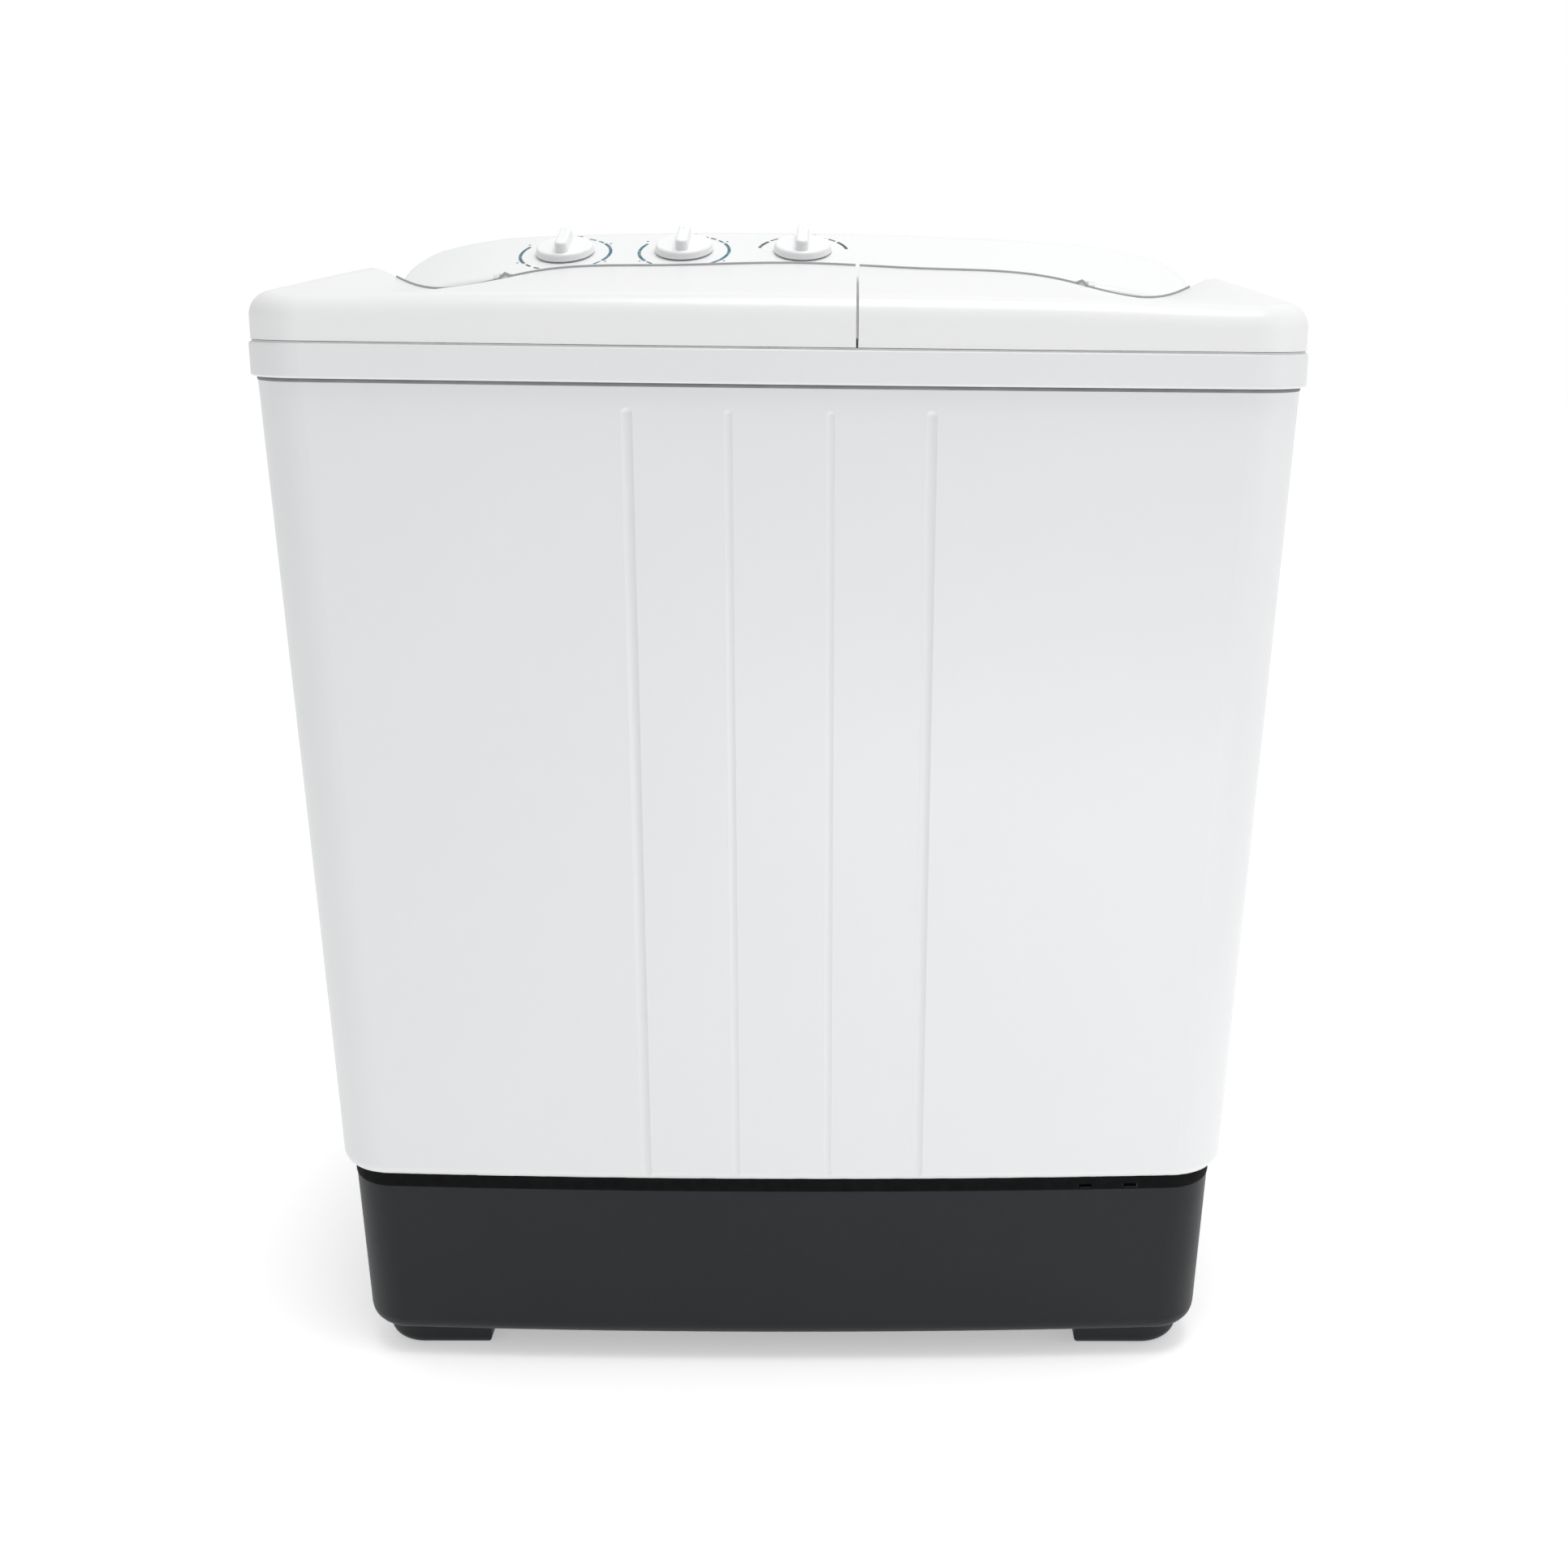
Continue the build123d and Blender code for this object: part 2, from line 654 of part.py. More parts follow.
def collar_screw_places():
    left = TUB_LEFT - TUB_FLANGE / 2
    front = TUB_FRONT - TUB_FLANGE / 2
    side_y = (TUB_Y - 90.0, TUB_Y + 40.0)
    front_x = (TUB_X - 90.0, TUB_X + 90.0)
    spin_reach = SPIN_TUB_R + SPIN_FLANGE / 2
    spin = [
        (SPIN_X + spin_reach * math.cos(a), SPIN_Y + spin_reach * math.sin(a))
        for a in (math.radians(d) for d in (-125, -55, 10))
    ]
    return [(left, y) for y in side_y] + [(x, front) for x in front_x] + spin


def harness_place():
    return SEAM_X + HARNESS_FROM_SEAM, REAR - HARNESS_FROM_REAR


def tub_collar():
    solid = extrude(Pos(0, 0, COLLAR_BOTTOM) * collar_plan(0), COLLAR_BAND)
    solid = fillet(solid.edges().group_by(Axis.Z)[-1], COLLAR_EDGE)
    solid = fillet(solid.edges().group_by(Axis.Z)[0], COLLAR_EDGE)
    solid -= extrude(Pos(0, 0, COLLAR_BOTTOM - 1) * collar_plan(COLLAR_WALL), COLLAR_BAND - DECK + 1)
    for mouth in (wash_mouth, spin_mouth):
        solid += extrude(Pos(0, 0, COLLAR_TOP) * mouth(MOUTH_RIM), MOUTH_RIM)
        solid -= extrude(Pos(0, 0, DECK_UNDER - 1) * mouth(0), DECK + MOUTH_RIM + 2)
    for places in lug_places().values():
        for x in places:
            inner = x - LUG / 2 - LUG_SIDE, x + LUG / 2 + LUG_SIDE
            solid += hinge_ear(inner[0] - EAR, inner[0])
            solid += hinge_ear(inner[1], inner[1] + EAR)
            solid -= hinge_bore(PIN_R + RUN, inner[0] - EAR - 1, inner[1] + EAR + 1)
    for x, y in collar_screw_places():
        solid -= disc(SCREW_R + FIT, DECK_UNDER - 1, DECK + 2, x, y)
    solid -= block(
        DRAIN_X - STRAP_WIDTH, DRAIN_X + STRAP_WIDTH, DRAIN_Y - 3 * STRAP, DRAIN_Y + 3 * STRAP,
        DECK_UNDER - 1, COLLAR_TOP + 1,
    )
    x, y = harness_place()
    solid -= disc(HARNESS_R + FIT, DECK_UNDER - 1, DECK + 2, x, y)
    return solid


def collar_screws():
    screws = []
    for x, y in collar_screw_places():
        head = disc(SCREW_HEAD_R - 1, COLLAR_TOP, SCREW_HEAD, x, y)
        screws.append(head + disc(SCREW_R, COLLAR_TOP - SCREW_LENGTH, SCREW_LENGTH, x, y))
    return Compound(screws)


def lid_hinge_pins():
    reach = LUG / 2 + LUG_SIDE + EAR
    return Compound([hinge_bore(PIN_R, x - reach, x + reach) for p in lug_places().values() for x in p])


def lid_bumpers():
    """Rubber pads on the collar, under the front skirt of each lid."""
    y = FRONT + LID_STEP + LID_WALL + BUMPER_R
    left = (-HALF + BUMPER_FROM_SIDE, SEAM_X - BUMPER_FROM_SEAM)
    right = (SEAM_X + BUMPER_FROM_SEAM, HALF - BUMPER_FROM_SIDE)
    pads = []
    for x in left + right:
        bow = FRONT_BOW * (x / HALF) ** 2
        pads.append(disc(BUMPER_R, COLLAR_TOP, LID_GAP - SEAT_GAP, x, y + bow))
    return Compound(pads)


def lid_switch():
    """Safety switch on the deck, with the button that the spin lid holds down."""
    x = HALF - SWITCH_FROM_SIDE
    y = LID_REAR - SWITCH_FROM_LID
    wide, deep, tall = SWITCH
    solid = block(x - wide / 2, x + wide / 2, y - deep / 2, y + deep / 2, COLLAR_TOP, COLLAR_TOP + tall)
    solid = fillet(solid.edges().filter_by(Axis.Z), 3)
    return solid + disc(3.0, COLLAR_TOP + tall, 8.0, x, y)


# Lids


def crowned(y, mid, crown, half):
    """Section across the lids at depth y, with an arched top."""
    low = COLLAR_TOP - 100
    top = ThreePointArc((-half, mid - crown), (0, mid), (half, mid - crown))
    rest = Polyline((half, mid - crown), (half, low), (-half, low), (-half, mid - crown))
    return upright(y) * make_face(top.edges() + rest.edges())


def scooped(y, mid):
    """Section across the lids' back edge: it falls from the middle, then sweeps up beside the console's ends."""
    low = COLLAR_TOP - 100
    dip = HALF - LID_DIP_FROM_SIDE
    side = mid - LID_SIDE_DROP
    right = [(dip * share, mid - LID_DIP * share**1.7) for share in (0.35, 0.7, 1.0)]
    right += [(HALF - LID_EDGE, side), (HALF, side)]
    left = [(-x, z) for x, z in reversed(right)]
    top = Spline(*left, (0, mid), *right)
    rest = Polyline((HALF, side), (HALF, low), (-HALF, low), (-HALF, side))
    return upright(y) * make_face(top.edges() + rest.edges())


def lid_blank(inset, bottom):
    """Both lids as one block: arched in front, scooped at the back, with rounded outer edges."""
    front = crowned(FRONT, COLLAR_TOP + LID_FRONT_RISE - inset, LID_FRONT_CROWN, HALF)
    rear = scooped(LID_REAR, COLLAR_TOP + LID_REAR_RISE - inset)
    step = LID_STEP + inset
    outline = plan(HALF - step, FRONT + step, LID_REAR - inset, CORNER - step, FRONT_BOW, 0)
    solid = loft([front, rear], ruled=True) & extrude(Pos(0, 0, bottom) * outline, 2 * CONSOLE_RISE)
    top = solid.faces().sort_by(Axis.Z)[-1]
    return fillet(top.edges().sort_by(Axis.Y)[:-1], LID_EDGE - inset)


def hinge_lug(x):
    """Arm from the lid's back wall to the hinge axis."""
    root = LID_REAR - LID_WALL / 2
    face = Pos(HINGE_Y, HINGE_Z) * Circle(HINGE_R)
    face += Pos((HINGE_Y + root) / 2, HINGE_Z) * Rectangle(HINGE_Y - root, 2 * HINGE_R)
    plane = Plane(origin=(x - LUG / 2, 0, 0), x_dir=(0, 1, 0), z_dir=(1, 0, 0))
    return extrude(plane * face, LUG)


def lid(name, x0, x1, rib_x):
    """One lid: a shell with an end wall at the seam, stiffening ribs and two hinge lugs."""
    far = 2 * WIDTH
    keep = block(x0, x1, -far, far, 0, 2 * HEIGHT)
    hollow = block(x0 + LID_WALL, x1 - LID_WALL, -far, far, 0, 2 * HEIGHT)
    solid = (lid_blank(0, LID_BOTTOM) & keep) - (lid_blank(LID_WALL, LID_BOTTOM - 20) & hollow)
    solid -= block(-far, far, LID_REAR - 2 * LID_WALL, LID_REAR + 1, 0, LID_BACK_BOTTOM)
    for x in rib_x:
        under = COLLAR_TOP + LID_FRONT_RISE - LID_FRONT_CROWN * (x / HALF) ** 2 - LID_EDGE
        rib = block(x - LID_RIB / 2, x + LID_RIB / 2, FRONT, LID_REAR, under, 2 * HEIGHT)
        solid += rib & lid_blank(LID_WALL / 2, LID_BOTTOM)
    for x in lug_places()[name]:
        solid += hinge_lug(x)
        solid -= hinge_bore(PIN_R + PIN_RUN, x - LUG, x + LUG)
    return solid


def wash_lid():
    ribs = [-HALF + (HALF + SEAM_X) * share for share in (0.33, 0.67)]
    return lid("wash_lid", -HALF, SEAM_X - SEAM / 2, ribs)


def spin_lid():
    return lid("spin_lid", SEAM_X + SEAM / 2, HALF, [(HALF + SEAM_X) / 2])


# Console


def console_section(top, half):
    """Section across the console: nearly flat in the middle, falling away to the ends."""
    low = COLLAR_TOP - 2 * CONSOLE_RISE
    shoulder = top - crown_drop(CROWN_HALF)[0]
    end = shoulder - CROWN_FALL
    arch = ThreePointArc((-CROWN_HALF, shoulder), (0, top), (CROWN_HALF, shoulder))
    right = TangentArc((CROWN_HALF, shoulder), (half, end), tangent=arch % 1)
    left = TangentArc((-CROWN_HALF, shoulder), (-half, end), tangent=(arch % 0) * -1)
    rest = Polyline((half, end), (half, low), (-half, low), (-half, end))
    return make_face(arch.edges() + right.edges() + left.edges() + rest.edges())


def console_blank(inset, bottom):
    """Console block: sloped panel, narrow flat top and rounded ends."""
    tilt = math.radians(CONSOLE_TILT)
    beyond = REAR + CONSOLE_DEPTH
    bend = CONSOLE_BACK - CONSOLE_FLAT
    half = HALF + CONSOLE_SIDE / 2
    flat = extrude(upright(beyond) * console_section(HEIGHT - inset, half), 4 * CONSOLE_DEPTH)
    over = HEIGHT - inset / math.cos(tilt) + (beyond - bend) * math.tan(tilt)
    down = (0, -math.cos(tilt), -math.sin(tilt))
    slope = extrude(upright(beyond) * console_section(over, half), 4 * CONSOLE_DEPTH, dir=down)
    corner = CONSOLE_CORNER - inset
    side = HALF - CONSOLE_SIDE - inset
    outline = plan(side, CONSOLE_FRONT + inset, CONSOLE_BACK - inset, corner, 1, corner)
    return extrude(Pos(0, 0, bottom) * outline, 2 * CONSOLE_RISE) & slope & flat


def rounded_console():
    solid = console_blank(0, COLLAR_TOP)
    bend = CONSOLE_BACK - CONSOLE_FLAT
    crease = [e for e in solid.edges() if abs(e.center().Y - bend) < 0.5 and e.center().Z > COLLAR_TOP + 30]
    solid = fillet(crease, CONSOLE_BEND)
    rim = []
    for face in solid.faces():
        if abs(face.normal_at(face.center()).Z) > 0.05:
            continue
        for edge in face.edges():
            heights = [v.Z for v in edge.vertices()]
            level = abs(heights[0] - heights[-1]) < 0.8 * edge.length
            if min(heights) > COLLAR_TOP + 5 and level:
                rim.append(edge)
    return fillet(rim, CONSOLE_EDGE)


def crown_drop(x):
    """Fall of the panel from its middle, and the sideways slope there."""
    drop = CROWN_R - math.sqrt(CROWN_R**2 - x**2)
    return drop, -x / math.sqrt(CROWN_R**2 - x**2)


def dial_plane(x):
    """Plane on the panel at a dial, with its normal out of the panel."""
    tilt = math.tan(math.radians(CONSOLE_TILT))
    drop, slope = crown_drop(x)
    y = CONSOLE_BACK - DIAL_FROM_REAR
    z = HEIGHT - (DIAL_FROM_REAR - CONSOLE_FLAT) * tilt - drop
    return Plane(origin=(x, y, z), x_dir=(1, 0, slope), z_dir=(-slope, -tilt, 1))


def console_shell():
    solid = rounded_console() - console_blank(CONSOLE_WALL, COLLAR_TOP - 20)
    z = COLLAR_TOP + INLET_RISE
    half = INLET_POCKET / 2
    floor = CONSOLE_BACK - INLET_POCKET_DEPTH
    skin = CONSOLE_WALL
    x = INLET_X
    solid += block(
        x - half - skin, x + half + skin, floor - skin, CONSOLE_BACK - skin / 2, z - half + 6, z + half - 6
    )
    solid -= block(x - half, x + half, floor, CONSOLE_BACK + 1, z - half + 9, z + half - 9)
    solid -= along_y(INLET_R + FIT, x, z, floor - 2 * skin, floor + 1)
    for x in DIAL_X:
        solid -= dial_plane(x) * Cylinder(STEM_R + 1, 6 * CONSOLE_WALL)
    return solid


def water_inlet_spigot():
    """Hose tail in the pocket at the back of the console."""
    z = COLLAR_TOP + INLET_RISE
    floor = CONSOLE_BACK - INLET_POCKET_DEPTH
    inner = floor - CONSOLE_WALL
    solid = along_y(INLET_R, INLET_X, z, inner - 14, floor + TAIL_STEP)
    solid += along_y(INLET_R - TAIL_STEP, INLET_X, z, floor, REAR - 1)
    solid += along_y(INLET_R + 4, INLET_X, z, inner - 4, inner)
    return solid - along_y(INLET_BORE, INLET_X, z, inner - 15, REAR)


# Dials


def knob(x):
    """Dial knob: low round skirt, raised grip bar and a stem into the switch behind."""
    skirt = Pos(0, 0, KNOB_LIFT) * extrude(Circle(KNOB_R), KNOB_SKIRT, taper=8)
    skirt = fillet(skirt.edges().group_by(Axis.Z)[-1], 3)
    grip = Pos(0, 0, KNOB_LIFT) * extrude(SlotOverall(2 * KNOB_R - 7, KNOB_GRIP), KNOB_HEIGHT, taper=2)
    grip = fillet(grip.edges().group_by(Axis.Z)[-1], 2.5)
    stem = disc(STEM_R, -CONSOLE_WALL - SEAT_GAP - STEM_DEPTH, STEM_DEPTH + 8)
    return dial_plane(x) * Rot(0, 0, 90) * (skirt + grip + stem)


def dial_body(x):
    """Timer or switch case under the panel, with the socket that the knob's stem turns in."""
    top = -CONSOLE_WALL - SEAT_GAP
    solid = extrude(RectangleRounded(DIAL_BODY, DIAL_BODY, 6), -DIAL_BODY_DEPTH * 0.55)
    solid += extrude(Circle(DIAL_BODY / 2 - 3), -DIAL_BODY_DEPTH)
    solid -= Pos(0, 0, -STEM_DEPTH / 2) * Cylinder(STEM_R + STEM_RUN, STEM_DEPTH + 1)
    return dial_plane(x) * Pos(0, 0, top) * solid


def wash_selector_switch():
    """Selector case with the upright guide that the drain strap slides in."""
    solid = dial_body(DIAL_X[1])
    wide = STRAP_WIDTH / 2 + 7
    deep = STRAP + 5
    rise = DRAIN_TOP - PLUG_LIFT
    solid += block(DRAIN_X - wide, DRAIN_X + wide, DRAIN_Y - deep, DRAIN_Y + deep, rise - 26, DRAIN_TOP + 9)
    return solid - block(
        DRAIN_X - STRAP_WIDTH / 2 - SEAT_GAP, DRAIN_X + STRAP_WIDTH / 2 + SEAT_GAP,
        DRAIN_Y - STRAP / 2 - SEAT_GAP, DRAIN_Y + STRAP / 2 + SEAT_GAP, rise - 27, DRAIN_TOP + 3,
    )


# Wash tub and what is fitted in it


def wash_taper(inset, z0, z1):
    """Tapered block inside the wash tub's outer faces, between two heights."""
    rings = []
    for z in (z0, z1):
        narrow = WASH_TAPER * (DECK_UNDER - z) / WASH_DEPTH + inset
        x0, x1 = TUB_LEFT + narrow, TUB_RIGHT - narrow
        y0, y1 = TUB_FRONT + narrow, TUB_BACK - narrow
        rings.append([(x0, y0, z), (x1, y0, z), (x1, y1, z), (x0, y1, z)])
    return round_sides(frustum(*rings), WASH_CORNER - inset)


def filter_rails():
    """Two grooved rails on the tub's left wall, closed at the bottom."""
    x0 = TUB_LEFT - TUB_WALL
    x1 = FILTER_X + FILTER_T / 2 + RAIL / 2
    rails = []
    for side in (-1, 1):
        inner = FILTER_Y + side * (FILTER_WIDTH / 2 + TONGUE_RUN)
        outer = inner + side * RAIL
        rail = block(x0, x1, min(inner, outer), max(inner, outer), FILTER_LOW - 8, FILTER_TOP)
        deep = inner + side * (TONGUE + TONGUE_RUN)
        middle = FILTER_X + FILTER_T / 2
        reach = TONGUE / 2 + TONGUE_RUN
        low = FILTER_LOW - SEAT_GAP
        slot = block(
            middle - reach, middle + reach, min(inner, deep) - 1, max(inner, deep) + 1, low, FILTER_TOP + 1
        )
        keep = block(x0, x1 + 1, min(inner - side, deep), max(inner - side, deep), 0, HEIGHT)
        rails.append(rail - (slot & keep))
    return rails


def wash_tub():
    outer = wash_taper(0, TUB_UNDER, DECK_UNDER)
    wide = 2 * (TUB_HALF_X + TUB_FLANGE)
    deep = 2 * (TUB_HALF_Y + TUB_FLANGE)
    lip = RectangleRounded(wide, deep, WASH_CORNER + TUB_FLANGE)
    solid = outer + extrude(Pos(TUB_X, TUB_Y, DECK_UNDER) * lip, -FLANGE_T)
    solid += disc(RECESS_R + TUB_WALL, RECESS_UNDER, TUB_FLOOR + RECESS, SHAFT_X, SHAFT_Y)
    solid -= wash_taper(TUB_WALL, WASH_FLOOR, DECK_UNDER + 1)
    solid -= disc(RECESS_R, RECESS_FLOOR, RECESS + 1, SHAFT_X, SHAFT_Y)
    for rail in filter_rails():
        solid += rail & outer
    solid -= disc(HOUSING_R - 4, RECESS_UNDER - 1, TUB_FLOOR + 2, SHAFT_X, SHAFT_Y)
    solid -= disc(DRAIN_R, TUB_UNDER - 1, TUB_FLOOR + 2, DRAIN_X, DRAIN_Y)
    for x, y in collar_screw_places():
        solid -= disc(SCREW_R + FIT, DECK_UNDER - FLANGE_T - 1, FLANGE_T + 2, x, y)
    return solid


def overflow_channel():
    """Slotted cover against the back wall, over the drain and its strap."""
    half = CHANNEL_WIDTH / 2
    front = DRAIN_Y - DRAIN_R - 10
    low = WASH_FLOOR + SEAT_GAP
    top = DECK_UNDER - CHANNEL_DROP
    shell = block(DRAIN_X - half, DRAIN_X + half, front, TUB_BACK, low, top)
    shell = fillet(shell.edges().filter_by(Axis.Z).group_by(Axis.Y)[0], CHANNEL_CORNER)
    skin = CHANNEL_WALL
    bore = block(DRAIN_X - half + skin, DRAIN_X + half - skin, front + skin, TUB_BACK + 1, 0, HEIGHT)
    shell -= fillet(bore.edges().filter_by(Axis.Z).group_by(Axis.Y)[0], CHANNEL_CORNER - skin)
    solid = shell & wash_taper(TUB_WALL + SEAT_GAP, WASH_FLOOR, DECK_UNDER)
    for row in range(6):
        z = low + 22 + 14 * row
        solid -= upright(front + 2 * skin) * Pos(DRAIN_X, z) * extrude(SlotOverall(half, 5), 4 * skin)
    return solid


def lint_filter():
    """Frame with side tongues that drops into the rails."""
    middle = FILTER_X + FILTER_T / 2
    half = FILTER_WIDTH / 2
    solid = block(FILTER_X, FILTER_X + FILTER_T, FILTER_Y - half, FILTER_Y + half, FILTER_LOW, FILTER_TOP)
    solid += block(
        middle - TONGUE / 2, middle + TONGUE / 2, FILTER_Y - half - TONGUE, FILTER_Y + half + TONGUE,
        FILTER_LOW, FILTER_TOP,
    )
    inner = half - FILTER_BAR
    middle_z = (FILTER_LOW + FILTER_TOP) / 2
    for z0, z1 in ((FILTER_LOW + FILTER_BAR, middle_z - 3), (middle_z + 3, FILTER_TOP - 2 * FILTER_BAR)):
        solid -= block(
            FILTER_X - 1, FILTER_X + FILTER_T + 1, FILTER_Y - inner, FILTER_Y + inner, z0, z1
        )
    return solid


def lint_filter_net():
    """Thin net panels in the frame."""
    inner = FILTER_WIDTH / 2 - FILTER_BAR
    middle_z = (FILTER_LOW + FILTER_TOP) / 2
    x = FILTER_X + FILTER_T / 2
    nets = []
    for z0, z1 in ((FILTER_LOW + FILTER_BAR, middle_z - 3), (middle_z + 3, FILTER_TOP - 2 * FILTER_BAR)):
        nets.append(block(x - 0.6, x + 0.6, FILTER_Y - inner, FILTER_Y + inner, z0, z1))
    return Compound(nets)


# Pulsator and its drive


def dome(rise):
    """Disc of the pulsator under a part of a ball that meets its rim."""
    low = RECESS_FLOOR + PULSATOR_LIFT
    radius = (PULSATOR_R**2 + rise**2) / (2 * rise)
    ball = Pos(SHAFT_X, SHAFT_Y, low + PULSATOR_RIM + rise - radius) * Rot(90, 0, 0) * Sphere(radius)
    return disc(PULSATOR_R, low, PULSATOR_RIM + rise + 1, SHAFT_X, SHAFT_Y) & ball


def pulsator():
    """Domed disc with four swept vanes, a hub below and a screw seat on top."""
    solid = dome(PULSATOR_DOME)
    tall = dome(PULSATOR_DOME + VANE_RISE)
    low = RECESS_FLOOR + PULSATOR_LIFT
    length = PULSATOR_R - 16.0
    for i in range(VANES):
        blade = Pos(length / 2, 0) * SlotOverall(length, VANE_WIDTH)
        blade = extrude(blade, 2 * PULSATOR_DOME + VANE_RISE, taper=7)
        blade = Pos(SHAFT_X, SHAFT_Y, low) * Rot(0, 0, 45 + i * 360 / VANES) * blade
        solid += blade & tall
    crown = low + PULSATOR_RIM + PULSATOR_DOME + VANE_RISE
    solid -= disc(13.0, crown - 10, 40, SHAFT_X, SHAFT_Y)
    solid += disc(HUB_R, RECESS_FLOOR + 1, PULSATOR_LIFT, SHAFT_X, SHAFT_Y)
    solid -= disc(PULSATOR_SHAFT_R + RUN, RECESS_FLOOR, shaft_top() - RECESS_FLOOR, SHAFT_X, SHAFT_Y)
    return solid - disc(4.2, RECESS_FLOOR, 200, SHAFT_X, SHAFT_Y)


def shaft_top():
    return RECESS_FLOOR + PULSATOR_LIFT + PULSATOR_RIM + PULSATOR_DOME - 4


def pulsator_screw():
    seat = RECESS_FLOOR + PULSATOR_LIFT + PULSATOR_RIM + PULSATOR_DOME + VANE_RISE - 10
    solid = disc(10.0, seat, 6.0, SHAFT_X, SHAFT_Y)
    solid = fillet(solid.edges().group_by(Axis.Z)[-1], 2)
    return solid + disc(4.0, shaft_top() - 16, seat - shaft_top() + 16, SHAFT_X, SHAFT_Y)


def pulsator_shaft():
    low = PULLEY_Z - 4
    solid = disc(PULSATOR_SHAFT_R, low, shaft_top() - low, SHAFT_X, SHAFT_Y)
    return solid - disc(4.0 + RUN, shaft_top() - 17, 18, SHAFT_X, SHAFT_Y)


def pulsator_bearing_housing():
    low = HOUSING_LOW
    neck = HOUSING_R - 4 - FIT
    points = [
        (PULSATOR_SHAFT_R + RUN, low), (HOUSING_R - 3, low), (HOUSING_R, low + 3),
        (HOUSING_R, RECESS_UNDER - 2 * HOUSING_FLANGE - 4),
        (HOUSING_FLANGE_R, RECESS_UNDER - HOUSING_FLANGE), (HOUSING_FLANGE_R, RECESS_UNDER),
        (neck, RECESS_UNDER), (neck, RECESS_FLOOR), (PULSATOR_SHAFT_R + RUN, RECESS_FLOOR),
    ]
    return turned(points, SHAFT_X, SHAFT_Y)


def pulley(groove_r, bore, x, y):
    """Grooved belt pulley."""
    top = PULLEY_Z + PULLEY
    lip = (PULLEY - GROOVE) / 2
    rim = groove_r + PULLEY_LIP
    points = [
        (bore, PULLEY_Z), (rim, PULLEY_Z), (rim, PULLEY_Z + lip), (groove_r, PULLEY_Z + lip),
        (groove_r, top - lip), (rim, top - lip), (rim, top), (bore, top),
    ]
    return turned(points, x, y)


def driven_pulley():
    """Large pulley with lightening holes in its web."""
    solid = pulley(DRIVEN_R, PULSATOR_SHAFT_R + RUN, SHAFT_X, SHAFT_Y)
    for i in range(5):
        place = Pos(SHAFT_X, SHAFT_Y, PULLEY_Z) * Rot(0, 0, 72 * i) * Pos(DRIVEN_R * 0.58, 0, 0)
        solid -= place * Cylinder(DRIVEN_R * 0.2, 4 * PULLEY)
    return solid


def motor_pulley():
    return pulley(DRIVER_R, MOTOR_SHAFT_R + RUN, MOTOR_X, MOTOR_Y)


def drive_belt():
    """Belt round both pulleys, between their lips."""
    low = PULLEY_Z + (PULLEY - BELT) / 2

    def loop(grow):
        ends = Pos(SHAFT_X, SHAFT_Y) * Circle(DRIVEN_R + BELT_RUN + grow)
        ends += Pos(MOTOR_X, MOTOR_Y) * Circle(DRIVER_R + BELT_RUN + grow)
        return Pos(0, 0, low) * make_hull(ends.edges())

    return extrude(loop(BELT_T), BELT) - extrude(loop(0), BELT)


def wash_motor_shaft():
    low = MOTOR_TOP - 14
    return disc(MOTOR_SHAFT_R, low, PULLEY_Z + PULLEY + 4 - low, MOTOR_X, MOTOR_Y)


def wash_motor():
    """Closed motor: case between two end bells, with the bore that its shaft turns in."""
    low = BRACKET_TOP
    high = MOTOR_TOP
    bell = 26.0
    points = [
        (0, low), (MOTOR_R - 8, low), (MOTOR_R - 2, low + 6), (MOTOR_R - 2, low + bell),
        (MOTOR_R, low + bell), (MOTOR_R, high - bell), (MOTOR_R - 2, high - bell), (MOTOR_R - 2, high - 14),
        (MOTOR_R - 14, high - 5), (16, high - 5), (16, high), (0, high),
    ]
    solid = turned(points, MOTOR_X, MOTOR_Y)
    return solid - disc(MOTOR_SHAFT_R + RUN, high - 15, 16, MOTOR_X, MOTOR_Y)


def wash_motor_bracket():
    face = RectangleRounded(BRACKET, BRACKET, 12)
    solid = extrude(Pos(MOTOR_X, MOTOR_Y, BRACKET_TOP) * face, -BRACKET_T)
    for x, y in POSTS:
        solid -= disc(BOLT_R + FIT, BRACKET_TOP - 2 * BRACKET_T, 3 * BRACKET_T, x, y)
    return solid


def wash_motor_bushes():
    return Compound([ring(BUSH_R, BOLT_R + FIT, POST_TOP, BUSH, x, y) for x, y in POSTS])


def wash_motor_screws():
    screws = []
    for x, y in POSTS:
        low = POST_TOP - BUSH + 1
        head = disc(2 * BOLT_R, BRACKET_TOP, 4, x, y)
        screws.append(head + disc(BOLT_R, low, BRACKET_TOP - low, x, y))
    return Compound(screws)


# Spin tub, basket and drive


def spin_nipple_place():
    reach = SPIN_TUB_R - 28.0
    return SPIN_X - reach * 0.77, SPIN_Y + reach * 0.64


